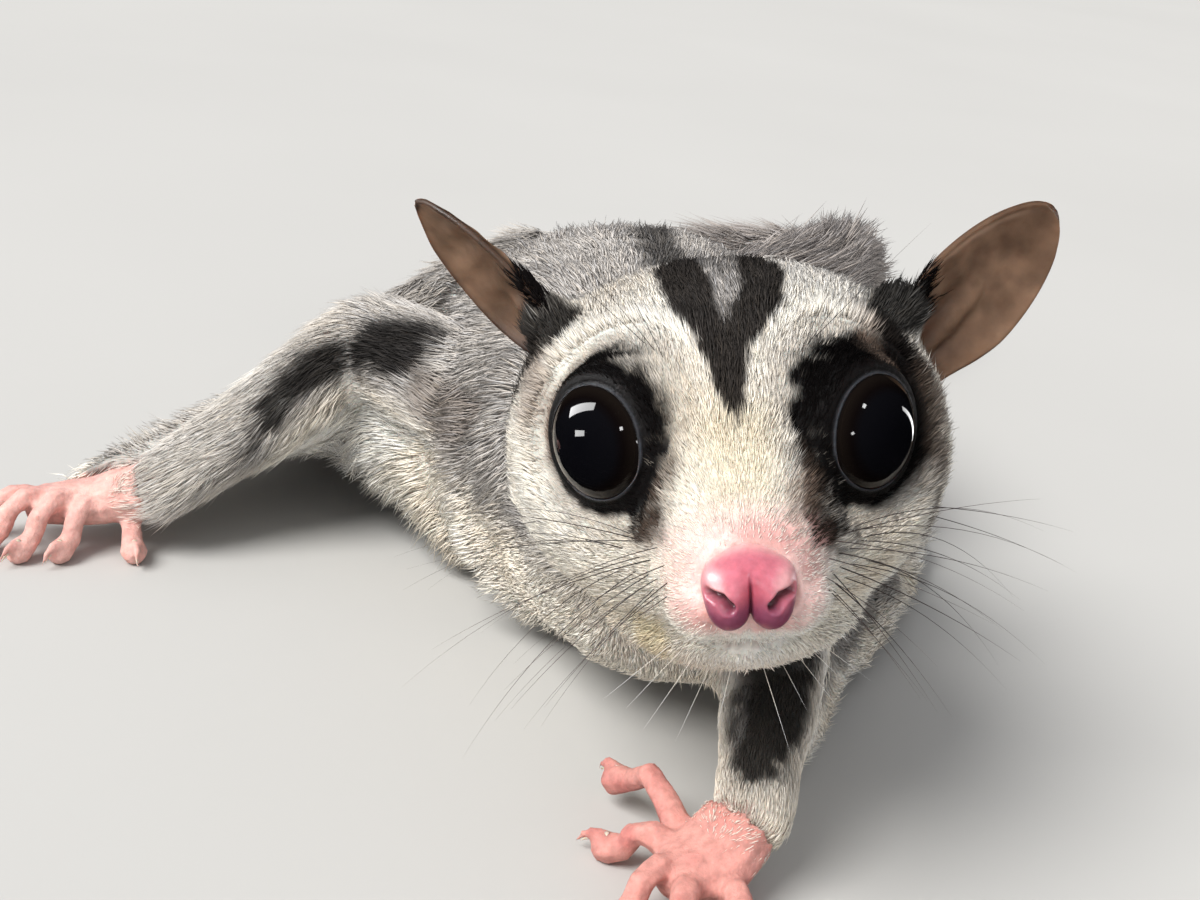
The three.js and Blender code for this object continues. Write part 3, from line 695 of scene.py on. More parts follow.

# %% [markdown]
# ## Markings
# The pale coat carries a dark wedge on the forehead with a painted silver sheen down its middle, black round
# the eyes that runs down to the muzzle, black at the root of each ear, a charcoal flash on each arm, grey
# over the back with a dark line down the spine, and a tail that darkens to its tip. Each is drawn as a soft
# shape near a line or a point of the body, so skin and tufts take the same colours from one function and no
# picture is needed.

# %% Colours of skin and coat
CREAM = np.array([0.92, 0.83, 0.7])
WHITE = np.array([0.95, 0.92, 0.86])
SILVER = np.array([0.56, 0.53, 0.505])
GREY = np.array([0.3, 0.28, 0.268])
BROWN = np.array([0.13, 0.095, 0.075])
BLACK = np.array([0.006, 0.005, 0.005])
STAIN = np.array([0.85, 0.72, 0.42])
# pink of the bare skin, darkened by painted shade to the tone of the shaded left hand
PINK = np.array([0.64, 0.3, 0.26])
MUZZLE_PINK = np.array([0.88, 0.62, 0.58])
ROSE = np.array([0.44, 0.13, 0.12])
LIT_HAND_PINK = np.array([0.85, 0.56, 0.5])  # the right hand
PINK_HAIR = np.array([0.9, 0.72, 0.66])  # thin white hair over pink skin
# painted shadow along the mouth, under the upper lip
MOUTH_SHADOW = np.array([0.3, 0.18, 0.15])
# painted sheen on the lids' wet edge
LID_SHEEN = np.array([0.16, 0.17, 0.2])  # of the lids


def blend(colours, mask, colour):
    return colours + (colour - colours) * np.clip(mask, 0, 1)[:, None]


print("coat from", CREAM, "to", BLACK)

# %% [markdown]
# ## Where the face's markings run
# The two sides of a real face differ a little, and so do these lines. Some of the difference is painted
# shade on the left side, which is turned from the light. Each was read in the head's frame. A mirrored half
# would need fewer numbers, but the face would look made.

# %% Lines of the face
# Outer edge of the black round each eye in millimetres, by the angle from the inner corner in degrees
EYE_RING = {
    -1: (
        [-180, -145, -99, -64, -50, -33, -19, -11, 0, 13, 31, 72, 108, 122, 135, 150, 180],
        [5.3, 5.4, 5.5, 5.4, 6.6, 9.0, 9.4, 7.6, 6.5, 6.0, 5.9, 6.0, 6.5, 6.4, 6.1, 5.4, 5.3],
    ),
    1: (
        [-180, -150, -125, -102, -68, -42, -35, -29, -23, -15, -9, 3, 16, 33, 69, 105, 138, 148, 162, 180],
        [
            *[8.2, 7.4, 6.3, 5.9, 5.5, 6.2, 8.8, 10.6, 11.8, 11.0],
            *[9.7, 7.9, 7.1, 6.5, 6.3, 6.6, 8.0, 8.6, 8.6, 8.2],
        ],
    ),
}
# Sides of the forehead's wedge and of the painted silver sheen inside it: across, by the place from the nose
# to the nape
WEDGE_RIGHT = (
    [-4.4, -3.1, -1.1, 0.5, 2.3, 4.2, 6.6, 10.9, 13.2, 20, 26],
    [-0.1, -0.9, -1.5, -1.9, -2.6, -3.6, -4.4, -5.2, -5.3, -2.6, -2.2],
)
WEDGE_LEFT = (
    [-4.4, -3.9, -2, -0.1, 1.5, 3.6, 6, 9.6, 11.7, 20, 26],
    [0.1, 0.3, 0.5, 0.9, 1.6, 3.0, 3.8, 4.4, 4.6, 2.6, 2.2],
)
GLEAM_RIGHT = ([2.7, 2.9, 4.1, 6.6, 13.5], [-0.3, -0.35, -0.7, -1.0, -1.5])
GLEAM_LEFT = ([2.7, 4.2, 7.1, 12.9], [-0.6, 0.1, 0.9, 1.3])
# By side: the dark streak beside the nose, the black at the ear's root, the dark line along the cheek, the
# brown above the eye, how far the black turns brown at its edge, the streak's strength and tone, and the
# cheek line's width and least strength. On the left side, turned from the light, the cheek line is painted
# shade.
SIDES = {
    1: dict(
        streak=[(5, -5.5, 0), (4.9, -8.2, -1.2), (5.4, -9.6, -3.6), (6.8, -8.6, -5.8), (8.5, -5.4, -5.4)],
        root=[
            *[(13.6, 13.4, 5.2), (12, 9, 5.2), (12.8, 6.3, 3.9)],
            *[(13.2, 3.2, 2.8), (13.4, 2.2, 0.6), (13, 1.8, -1.6)],
        ],
        root_radii=[2.6, 1.6, 1.5, 1.5, 1.4, 1.0],
        cheek=[(15.2, 7.5, 2.4), (15.4, 5.6, 0.4), (15.4, 4.2, -3.6), (15, 3.6, -7.5), (13.6, 3.8, -12)],
        brown=[(12, 4, 5.4), (11, 8, 6.4)],
        edge_browning=0.12,
        smear=(0.85, 0.35),
        ruff=(1.1, 0.9),
    ),
    -1: dict(
        streak=[(-5.4, -6, 0), (-6.4, -7.8, -2.5), (-6.8, -8.7, -3.9), (-5.8, -9.2, -2.9)],
        root=[(-12.6, 11.5, 5), (-14.6, 13.2, 4.4), (-16, 15.5, 2), (-16, 13.4, -0.5)],
        root_radii=[1.9, 2.8, 3.0, 2.2],
        cheek=[(-16.6, 15, -2), (-17.4, 14, -7), (-16.9, 12, -12), (-13.8, 10, -16)],
        brown=[(-14.4, 13, 2.9), (-14.4, 8.6, 2.4), (-14.5, 5.8, 1.0), (-14, 3.3, -0.5)],
        edge_browning=0.5,
        smear=(0.62, 0.9),
        ruff=(0.5, 0.0),
    ),
}
# painted shade on the left slope of the nose, which is turned from the light
NOSE_SLOPE_SHADE = ([(4.2, -7.5, -0.8), (3.6, -10, -1.8), (3.7, -12, -3.6)], [0.9, 0.7, 0.5])
STAIN_AT = [-6.9, -2.7, -14.8]  # a yellow spot under the chin
print("lines for", len(SIDES), "sides of the face")


# %% Markings of the face
def side_colours(side, places, colours, fine):
    """Black round one eye, with the streak, the ear's root and the cheek's dark line of that side; on the
    left, turned from the light, painted shade on the cheek's line and on the nose's slope.
    """
    head, lines = in_head(places), SIDES[side]
    reach, angle, depth = round_eye(side, places)
    degrees = np.degrees(angle)
    facing = ramp(depth, -7, -5)
    edge = np.interp(degrees, *EYE_RING[side])
    corner = np.interp(degrees, [-60, -20, 20], [0.0, 1.0, 0.0])
    outer = np.interp(np.abs(degrees), [100, 150], [0.0, 1.0])
    shade = inside(reach + fine * 1.6, edge + 1.2, 1.1) * facing
    colours = blend(colours, shade * (0.3 + 0.35 * outer), BROWN * 1.6)
    # the black turns brown toward its edge, more on the right side
    edge_browning = lines["edge_browning"] * ramp(reach + 2 * fine, 6.0, 8.6)
    tone = BLACK + (BROWN * 0.9 - BLACK) * edge_browning[:, None]
    black = inside(reach + fine * 0.9, edge, 0.4) * facing
    colours = blend(colours, black * (1 - 0.35 * corner * ramp(mottle(head, 0.8, 5), 0.5, 0.7)), tone)
    radii = np.linspace(1.1, 0.5, len(lines["streak"]))
    smear = inside(path_distance(head, lines["streak"], radii) + fine * 2.6, 0.1, 1.0)
    strength, brownness = lines["smear"]
    colours = blend(colours, strength * smear, BROWN * brownness)
    # painted shade: the left slope of the nose is turned from the light, so it is painted brown
    if side > 0:
        colours = blend(colours, 0.5 * inside(path_distance(head, *NOSE_SLOPE_SHADE) + fine, 0.3, 0.8), BROWN * 2.4)
    radii = np.linspace(1.6, 1.2, len(lines["brown"]))
    haze = inside(path_distance(head, lines["brown"], radii) + fine * 1.6, 0.6, 1.3)
    colours = blend(colours, 0.62 * haze, BROWN * 2.2)
    root = inside(path_distance(head, lines["root"], lines["root_radii"]) + fine, 0.2, 0.7)
    colours = blend(colours, 0.96 * root, BLACK)
    # the cheek's dark line: dashes of darker fur; on the left, turned from the light, a solid band of
    # painted shade
    ruff_width, least = lines["ruff"]
    dashes = np.maximum(ramp(mottle(head * [1, 1, 0.5], 1.5, 8), 0.42, 0.62), least)
    ruff = inside(path_distance(head, lines["cheek"]) + fine * 1.2, ruff_width, 0.45) * dashes
    return blend(colours, 0.8 * ruff, BROWN * 0.6)


def between(x, y, right, left):
    """Distance inwards from the nearer of two sides, each given as a table of x by y."""
    return np.minimum(x - np.interp(y, *right), np.interp(y, *left) - x)


def face_colours(places, colours):
    head = in_head(places)
    rough = mottle(head, 0.9, 1) - 0.5
    wave = mottle(head, 3.2, 2) - 0.5
    x, y, z = head.T
    fine = 0.7 * rough + 0.4 * wave
    nape = ramp(y + 0.2 * z + 3 * wave, 8, 22) * ramp(z + 2 * wave, -6, 4)
    colours = blend(colours, nape * (0.75 + 0.5 * wave), SILVER)
    bridge = inside(np.abs(x), 2.4, 1.6) * inside(np.abs(y + 6.5), 3.6, 1.8) * (z > -4)
    colours = blend(colours, 0.45 * bridge, STAIN * 0.6 + CREAM * 0.4)
    wedge = ramp(between(x, y, WEDGE_RIGHT, WEDGE_LEFT) + fine, -0.3, 0.35) * ramp(y, -4.8, -4.0) * (z > -1)
    gleam = ramp(between(x, y, GLEAM_RIGHT, GLEAM_LEFT) + fine * 0.8, -0.35, 0.45)
    gleam = gleam * ramp(y, 2.4, 3.2) * (1 - ramp(y, 13, 18))
    colours = blend(colours, 0.97 * wedge, BLACK * 2.0 + BROWN * 0.07)
    # painted sheen: the silver down the middle of the dark wedge stands for the gleam of light on its fur
    colours = blend(colours, 0.85 * gleam * (0.75 + rough), SILVER * 1.1)
    for side in (1, -1):
        colours = side_colours(side, places, colours, fine)
    stain = inside(np.linalg.norm(head - STAIN_AT, axis=1) + fine, 2.2, 1)
    return blend(colours, 0.5 * stain, STAIN)


# %% [markdown]
# ## Markings of the body
# Grey covers the back and the upper sides of the limbs, and the belly stays white. The edges are broken by
# noise of two sizes, as fur breaks them. Plain soft edges would look sprayed on.


# %% Markings of the trunk
STRIPE_HALF = ([24, 40, 110, 128], [2.0, 2.4, 2.4, 1.6])  # half its width, by the place along the back


def trunk_colours(places, colours):
    body = in_body(places)
    x, y, z = body.T
    rough = mottle(body, 1.6, 3) - 0.5
    broad = 0.8 * rough + 1.1 * (mottle(body, 6.5, 4) - 0.5)
    mantle = ramp(z + 3.0 * broad, 12.5, 20) * ramp(y, 22, 38)
    colours = blend(colours, 0.9 * mantle, SILVER * 1.05)
    mottled = ramp(mottle(body, 3.4, 6) + 0.4 * rough, 0.42, 0.75)
    colours = blend(colours, 0.55 * mantle * mottled, GREY)
    stripe = inside(np.abs(x - spine_x(y)) + broad * 1.2, np.interp(y, *STRIPE_HALF), 1.2) * ramp(z, 18, 24)
    return blend(colours, 0.75 * stripe * ramp(y, 24, 30), BLACK * 2.2)


# %% Markings of the limbs
# Each arm's dark flash: a line with its radii
ARM_FLASHES = [
    (
        [(14.6, 53, 22), (10, 42.5, 14.5), (8, 30, 11.8), (6.6, 22, 10.2), (5.4, 15, 8.6)],
        [3.4, 3.2, 3.3, 2.7, 1.2],
    ),
    (
        [(-30, 61.5, 23.8), (-34, 65, 22), (-38.5, 64.8, 19.5), (-41.8, 61.8, 15.6), (-44.2, 59.4, 10.4)],
        [3.3, 2.8, 2.0, 1.2, 0.8],
    ),
]
# Height of the flash on the right arm, by the place across: white under it, grey over it
FLASH_HEIGHT = (
    [-50, -46, -44.2, -41.8, -38.5, -34, -30, -24, -18],
    [7.4, 8.8, 10.4, 15.6, 19.5, 22, 22.4, 21, 19],
)
HIND_START = 80  # where the hind legs begin along the body
SHOULDER_PATCH = ([(-27.2, 55.4, 20.4), (-22.4, 49.2, 22)], [2.6, 2.2])
THIGHS = [((17, 88, 20), (8, 102, 24)), ((-31, 87, 20), (-22, 102, 24))]  # knee and hip


def limb_colours(places, colours, parts):
    body = in_body(places)
    rough = mottle(body, 1.4, 3) - 0.5
    broad = 0.8 * rough + 1.0 * (mottle(body, 5.0, 9) - 0.5)
    greyed = of_kind(parts, "upper_arm", "thigh", "shank") * 0.8 + of_kind(parts, "forearm") * 0.6
    low_edge = np.where(body[:, 1] < HIND_START, np.interp(body[:, 0], *FLASH_HEIGHT), 15.0)
    upper_side = ramp(body[:, 2] + 2 * broad - low_edge, -5.5, -1.5)
    colours = blend(colours, greyed * upper_side, SILVER * 1.05)
    for line, radii in ARM_FLASHES:
        far = path_distance(body, line, radii) + 1.8 * broad
        colours = blend(colours, 0.45 * inside(far, 1.6, 1.6), GREY)
        colours = blend(colours, 0.93 * inside(far, 0.1, 0.8), BLACK * 1.6)
    patch = inside(path_distance(body, *SHOULDER_PATCH) + 2.4 * broad, 0.3, 1.4)
    colours = blend(colours, 0.55 * patch, BROWN * 1.4)
    for line in THIGHS:
        far = path_distance(body, line, [3, 2.4]) + 1.8 * broad
        colours = blend(colours, 0.6 * inside(far, 0.4, 1.5), GREY * 0.6)
    return colours


# %% Markings of the membranes and the tail
MEMBRANE_EDGES = [
    [(-62, 59.8, 4.6), (-57, 70, 4.4), (-49, 84, 3.4), (-42, 98, 3), (-35.6, 108, 4)],
    [(9.6, 22, 4.6), (15, 42, 3.4), (23, 64, 3), (27, 88, 3), (21, 108, 4)],
]
WHITE_FOLD = ([(-20, 62, 9.6), (-28.5, 70, 10.8), (-36, 72.4, 13), (-43, 67, 12.4)], [7, 7, 5, 4])


def membrane_colours(places, colours, parts):
    body = in_body(places)
    broad = mottle(body, 2.6, 12) - 0.5
    fold = path_distance(body, *WHITE_FOLD)
    edge = np.min([path_distance(body, line) for line in MEMBRANE_EDGES], axis=0)
    top = of_kind(parts, "patagium") * ramp(body[:, 2], 3.4, 4.4) * ramp(fold, 0, 3)
    colours = blend(colours, top * 0.75 * ramp(edge + broad, 1.6, 4.0), SILVER * 0.9)
    colours = blend(colours, top * 0.6 * inside(np.abs(edge - 3.4 + 2 * broad), 1.0, 0.8), GREY * 0.5)
    return blend(colours, 0.9 * inside(fold + 2 * broad, 1.5, 1.5) * ~of_kind(parts, "torso"), WHITE)


def tail_colours(places, colours, parts):
    """The nearest point of the tail's line gives how far along it each place lies."""
    body = in_body(places)
    steps = np.linalg.norm(TAIL_LINE[1:] - TAIL_LINE[:-1], axis=1)
    near = np.linalg.norm(body[:, None] - TAIL_LINE, axis=2).argmin(axis=1)
    share = np.concatenate([[0], np.cumsum(steps)])[near] / steps.sum()
    share = share + 0.08 * (mottle(body, 5, 14) - 0.5)
    tail = np.tile(GREY * 1.35 + BROWN * 0.35, (len(places), 1))
    tail = blend(tail, ramp(share, 0.45, 0.9), BLACK * 3)
    return np.where(of_kind(parts, "tail")[:, None], tail, colours)


# %% All the markings together
def coat_colours(places, parts):
    wave = mottle(in_body(places), 8, 21) - 0.5
    colours = blend(np.tile(CREAM, (len(places), 1)), 0.5 + wave, WHITE)
    trunk = of_kind(parts, "neck", "torso")
    colours = np.where(trunk[:, None], trunk_colours(places, colours), colours)
    limbs = trunk | of_kind(parts, "upper_arm", "forearm", "thigh", "shank")
    colours = np.where(limbs[:, None], limb_colours(places, colours, parts), colours)
    colours = membrane_colours(places, colours, parts)
    colours = tail_colours(places, colours, parts)
    on_face = round_spot(in_head(places), [0, 3, -4], 23, 3)
    return blend(colours, on_face, 0) + face_colours(places, colours) * on_face[:, None]


# %% [markdown]
# ## The skin's colours, with painted light and shade
# Under the coat the skin takes the coat's markings, a little darker, so no bare skin shines through. Paws
# and muzzle are bare and pink, with rosier patches. The paws' pink is darkened by painted shade, and the lit
# right hand is painted paler as painted light. The lids are black, with a painted blue-grey sheen along
# their wet edge. A painted shadow runs along the mouth, under the upper lip. One flat pink would look like
# rubber.


# %% Colour the skin
def bare_mask(places, parts):
    """1 on the bare pink skin of paws and muzzle, 0 under the coat."""
    head = in_head(places)
    muzzle = round_spot(head, [0, -13.4, -5.4], 5.0, 2.6, [0.9, 1, 1.15])
    muzzle = muzzle * of_kind(parts, "head", "nose") * ramp(head[:, 2], -9.8, -8.6)
    return np.maximum(muzzle, of_kind(parts, "hand", "foot"))


bare = spread(bare_mask(points, skin_part), links_of(triangles), 4)
on_head = of_kind(skin_part, "head")
hide_colours = coat_colours(points, skin_part) * 0.85
hide_colours = blend(hide_colours, bare, PINK)
hide_colours = blend(hide_colours, bare * on_head, MUZZLE_PINK)
knuckle = ramp(mottle(in_body(points), 2.4, 31), 0.4, 0.8)
hide_colours = blend(hide_colours, bare * 0.6 * knuckle, ROSE)
# painted light: the right hand is lit, so its pink is painted paler than the shaded left hand's
on_right_hand = skin_part == part_names.index("hand_right")
hide_colours = blend(hide_colours, 0.5 * bare * on_right_hand, LIT_HAND_PINK)
on_rim = np.zeros(len(points))
for side in (1, -1):
    reach, angle, depth = round_eye(side, points)
    lid_dark = inside(reach, 5.5, 0.4) * (depth > -2)
    hide_colours = blend(hide_colours, lid_dark, BLACK)
    # painted sheen: a thin blue-grey band on the lid's wet edge stands for its gleam
    lid_sheen_band = inside(np.abs(reach - 4.2), 0.05, 0.05) * skin_on_lid
    hide_colours = blend(hide_colours, 0.35 * lid_sheen_band, LID_SHEEN)
    on_rim = np.maximum(on_rim, inside(reach, 4.3, 0.1) * skin_on_lid)
x, y, z = in_head(points).T
# painted shadow: a dark line along the mouth, where the upper lip overhangs it
mouth_shadow = inside(np.abs(z - mouth_height(x, y)), 0.25, 0.2) * (y < -1) * on_head
hide_colours = blend(hide_colours, 0.5 * mouth_shadow, MOUTH_SHADOW)
print("bare skin on", int((bare > 0.5).sum()), "points")

# %% [markdown]
# ## Node groups for the materials
# Skin, leather and horn share a fine mottling of colour, and skin and leather also a pattern of uneven
# wrinkles. Each is a node group with named inputs, built once. The nodes could be copied into each material,
# but then every change would have to be made in each. The shader stays in the material, with that material's
# own values.


# %% Helpers for nodes
def new_group(name, inputs, outputs):
    group = bpy.data.node_groups.new(name, "ShaderNodeTree")
    for label, kind, value in inputs:
        socket = group.interface.new_socket(label, in_out="INPUT", socket_type=kind)
        socket.default_value = value
    for label, kind in outputs:
        group.interface.new_socket(label, in_out="OUTPUT", socket_type=kind)
    return group, group.nodes.new("NodeGroupInput"), group.nodes.new("NodeGroupOutput")


def node(tree, kind, links=(), **settings):
    made = tree.nodes.new(kind)
    for key, value in settings.items():
        if key in made.inputs:
            made.inputs[key].default_value = value
        else:
            setattr(made, key, value)
    for target, source in links:
        tree.links.new(source, made.inputs[target])
    return made


COLOUR, VALUE, VECTOR = "NodeSocketColor", "NodeSocketFloat", "NodeSocketVector"

# %% Uneven tint and wrinkles
tint_group, tint_in, tint_out = new_group(
    "uneven_tint",
    [
        *[("Color", COLOUR, (1, 1, 1, 1)), ("Place", VECTOR, (0, 0, 0))],
        *[("Scale", VALUE, 900), ("Amount", VALUE, 0.2)],
    ],
    [("Color", COLOUR), ("Mask", VALUE)],
)
noise_place = [("Vector", tint_in.outputs["Place"]), ("Scale", tint_in.outputs["Scale"])]
grain = node(tint_group, "ShaderNodeTexNoise", noise_place, Detail=3)
both_ways = {"From Min": 0.3, "From Max": 0.7, "To Min": -1.0, "To Max": 1.0}
strength = node(tint_group, "ShaderNodeMapRange", [("Value", grain.outputs["Fac"])], **both_ways)
amounts = [(0, strength.outputs["Result"]), (1, tint_in.outputs["Amount"])]
scaled = node(tint_group, "ShaderNodeMath", amounts, operation="MULTIPLY")
factor = node(tint_group, "ShaderNodeMath", [(0, scaled.outputs[0])], operation="ADD")
factor.inputs[1].default_value = 1
times = [(0, tint_in.outputs["Color"]), ("Scale", factor.outputs[0])]
tinted = node(tint_group, "ShaderNodeVectorMath", times, operation="SCALE")
tint_group.links.new(tinted.outputs[0], tint_out.inputs["Color"])
tint_group.links.new(grain.outputs["Fac"], tint_out.inputs["Mask"])

wrinkle_group, wrinkle_in, wrinkle_out = new_group(
    "wrinkles", [("Place", VECTOR, (0, 0, 0)), ("Scale", VALUE, 1500)], [("Height", VALUE)]
)
noise_place = [("Vector", wrinkle_in.outputs["Place"]), ("Scale", wrinkle_in.outputs["Scale"])]
creases = node(wrinkle_group, "ShaderNodeTexNoise", noise_place, Detail=5, Roughness=0.62, Distortion=0.6)
middle_values = {"From Min": 0.3, "From Max": 0.7}
softened = node(wrinkle_group, "ShaderNodeMapRange", [("Value", creases.outputs["Fac"])], **middle_values)
wrinkle_group.links.new(softened.outputs["Result"], wrinkle_out.inputs["Height"])
print("node groups:", tint_group.name, "and", wrinkle_group.name)

# %% [markdown]
# ## Materials of skin and coat
# Skin is soft and lets some light scatter under its surface; fur is dull. Colours come from named
# attributes of the mesh. One function builds all the materials that are mottled in the same way: its values
# are how fine and how strong the mottling is, between which roughnesses it varies, and how fine and deep
# the wrinkles are.


# %% Materials
def material(name, **values):
    made = bpy.data.materials.new(name)
    made.use_nodes = True
    shader = made.node_tree.nodes["Principled BSDF"]
    for key, value in values.items():
        shader.inputs[key].default_value = value
    place = made.node_tree.nodes.new("ShaderNodeTexCoord").outputs["Object"]
    return made, made.node_tree, shader, place


def grouped(tree, group, links=(), **values):
    made = tree.nodes.new("ShaderNodeGroup")
    made.node_tree = group
    for key, value in values.items():
        made.inputs[key].default_value = value
    for target, source in links:
        tree.links.new(source, made.inputs[target])
    return made


def attribute(tree, name):
    return node(tree, "ShaderNodeAttribute", attribute_name=name)


def patterned(name, colour, tint, rough, folds=None, rough_layer=None, **values):
    """A mottled material whose colour is a named attribute or one tone."""
    made, tree, shader, place = material(name, **values)
    amounts = {"Scale": tint[0], "Amount": tint[1]}
    links = [("Place", place)]
    if isinstance(colour, str):
        links.append(("Color", attribute(tree, colour).outputs["Color"]))
    else:
        amounts["Color"] = (*colour, 1)
    tinted = grouped(tree, tint_group, links, **amounts)
    mask = attribute(tree, rough_layer).outputs["Fac"] if rough_layer else tinted.outputs["Mask"]
    ends = {"To Min": rough[0], "To Max": rough[1]}
    roughness = node(tree, "ShaderNodeMapRange", [("Value", mask)], **ends)
    tree.links.new(tinted.outputs["Color"], shader.inputs["Base Color"])
    tree.links.new(roughness.outputs["Result"], shader.inputs["Roughness"])
    if folds:
        scale, strength, height = folds
        wrinkled = grouped(tree, wrinkle_group, [("Place", place)], Scale=scale)
        raised = [("Height", wrinkled.outputs["Height"])]
        bump = node(tree, "ShaderNodeBump", raised, Strength=strength, Distance=height)
        tree.links.new(bump.outputs["Normal"], shader.inputs["Normal"])
    return made


def soft_flesh(weight, depth, radii):
    """Values for light that scatters under the surface, as deep as `depth` in metres."""
    return {"Subsurface Weight": weight, "Subsurface Scale": depth, "Subsurface Radius": radii}


skin_material = patterned(
    "bare_skin",
    "hide",
    tint=(1400, 0.16),
    rough=(0.52, 0.16),  # from dry skin to the wet edge of the lids
    rough_layer="wet",
    folds=(2200, 0.45, 0.00016),
    **{"Specular IOR Level": 0.12},
    **soft_flesh(0.25, 0.0012, (1, 0.35, 0.25)),
)
coat_material = patterned("soft_fur", "coat", (500, 0.06), (0.65, 0.85), **{"Specular IOR Level": 0.02})
print("materials:", skin_material.name, "and", coat_material.name)

# %% [markdown]
# ## Making the meshes
# A mesh of many thousand faces is filled from whole arrays, which takes a fraction of the time of adding
# faces one by one. Colours go into named attributes, which the materials read.


# %% Mesh from arrays
def paint(mesh, layer_name, colours):
    """Writes a colour at each point of a mesh."""
    rgba = np.ones((len(mesh.vertices), 4), np.float32)
    rgba[:, :3] = np.clip(colours, 0, 1)
    mesh.attributes.new(layer_name, "FLOAT_COLOR", "POINT").data.foreach_set("color", rgba.ravel())


def measure(mesh, layer_name, values):
    """Writes a number at each point of a mesh."""
    layer = mesh.attributes.new(layer_name, "FLOAT", "POINT")
    layer.data.foreach_set("value", np.asarray(values, np.float32))


def placed(mesh, material_used):
    """The object of a finished mesh, in the scene, smooth and with its material."""
    mesh.shade_smooth()
    mesh.materials.append(material_used)
    piece = bpy.data.objects.new(mesh.name, mesh)
    bpy.context.scene.collection.objects.link(piece)
    return piece


def mesh_from(name, places, faces, colours, layer_name="coat"):
    made = bpy.data.meshes.new(name)
    made.vertices.add(len(places))
    made.vertices.foreach_set("co", np.asarray(places, np.float32).ravel())
    made.loops.add(len(faces) * 3)
    made.loops.foreach_set("vertex_index", np.asarray(faces, np.int32).ravel())
    made.polygons.add(len(faces))
    made.polygons.foreach_set("loop_start", np.arange(0, len(faces) * 3, 3, dtype=np.int32))
    made.update(calc_edges=True)
    paint(made, layer_name, colours)
    return made


# %% The skin
skin_mesh = mesh_from("skin", points, triangles, hide_colours, "hide")
measure(skin_mesh, "wet", on_rim)
skin = placed(skin_mesh, skin_material)
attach(skin, "root")
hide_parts(*[n for n in FLESH if n != "nose"])
print("skin:", len(skin.data.polygons), "triangles")

# %% [markdown]
# ## Planting the coat
# Real fur is millions of hairs. A tuft of solid mesh, six long thin triangles, stands for a dozen of them.
# Roots are spread evenly over the skin by area. Hair curves from a particle system would be finer, but the
# library takes only meshes.


# %% Where the tufts stand
def plant(density, seed, points, triangles):
    """Roots spread over a surface: for each, its triangle and the weights of the triangle's corners."""
    random = np.random.default_rng(seed)
    corners = points[triangles]
    doubled = np.cross(corners[:, 1] - corners[:, 0], corners[:, 2] - corners[:, 0])
    area = np.linalg.norm(doubled, axis=1) / 2 / MM**2
    wanted = np.cumsum(area * density[triangles].mean(axis=1))
    total = int(wanted[-1])
    chosen = np.searchsorted(wanted, (np.arange(total) + random.random(total)) * wanted[-1] / total)
    chosen = np.minimum(chosen, len(triangles) - 1)
    u, v = random.random(total), random.random(total)
    flip = u + v > 1
    u, v = np.where(flip, 1 - u, u), np.where(flip, 1 - v, v)
    return triangles[chosen], np.stack([1 - u - v, u, v], axis=1), random


def at_roots(values, corners, weights):
    return np.einsum("nc,nc...->n...", weights, values[corners])


BARE_WITHIN = 4.85  # of the gaze, on the lid's wet edge
FLOOR_REACH = 0.6  # height under which the fur is pressed on the floor
under_lid = np.zeros(len(points), bool)
lid_bare = np.zeros(len(points))
for side in (1, -1):
    reach, angle, depth = round_eye(side, points)
    covered = (reach < LID_REACH) & (depth > -4) & (depth < lid_depth(side, reach, angle) - 0.1)
    under_lid |= covered & ~skin_on_lid
    lid_bare = np.maximum(lid_bare, inside(reach, BARE_WITHIN, 0.12) * (depth > -2))
nose_near = round_spot(in_head(points), [0, -14.6, -5.6], 3.6, 0.5, [0.85, 1, 1])
# fewer tufts where the lids and nose are bare, and along the painted mouth shadow so that it shows
density = coat_count * (1 - lid_bare) * (1 - nose_near) * (1 - 0.5 * mouth_shadow)
density[under_lid] = 0
muzzle_share = np.pad(muzzle, (0, lid_count))  # the lids came after it was measured
density = density * np.where(of_kind(skin_part, "hand", "foot", "nose"), 0.8, 1) * (1 - 0.45 * muzzle_share)
density[in_body(points)[:, 2] < FLOOR_REACH] *= 0.3
corners, weights, random = plant(density, 5, points, triangles)
print("tufts:", len(corners))

# %% [markdown]
# ## The shape of a tuft
# Each tuft is a spindle: a root, three points a third of the way up and a tip. It leaves the skin at an
# angle and lies over along it. Its length, width and lean vary from one to the next. On the face it is
# short and fine, and shortest beside the nose and the eyes. Equal tufts would look like a brush.

# %% Size of each tuft
count = len(corners)
root = at_roots(points, corners, weights)
out = unit(at_roots(normals, corners, weights))
tuft_part = skin_part[corners[np.arange(count), weights.argmax(axis=1)]]
tuft_head, tuft_body = in_head(root), in_body(root)
length = at_roots(coat_length, corners, weights)
width = at_roots(coat_width, corners, weights)
rise = at_roots(coat_rise, corners, weights)
of_head = of_kind(tuft_part, "head")
from_nose = np.linalg.norm(tuft_head - [0, -13.5, -5.5], axis=1)
face_share = np.where(of_head, 0.4 + 0.6 * ramp(from_nose, 3, 17), 1)
for side in (1, -1):
    reach = round_eye(side, root)[0]
    face_share = np.where(of_head, face_share * (0.45 + 0.55 * ramp(reach, 5.0, 8.5)), face_share)
length = length * face_share
width = width * np.where(of_head, 0.35 + 0.65 * face_share, 1)
cheek_ruff = of_head * ramp(tuft_head[:, 1], 4, 14) * inside(tuft_head[:, 2], -2, 5)
length = length * (1 + 0.35 * cheek_ruff)
throat = (~of_head) * inside(tuft_body[:, 2], 16, 4) * inside(tuft_body[:, 1], 46, 8)
length = length * (1 - 0.45 * throat)
rise = rise * (1 - 0.5 * throat)
print("tufts' middle length:", round(float(np.median(length)), 2), "mm")


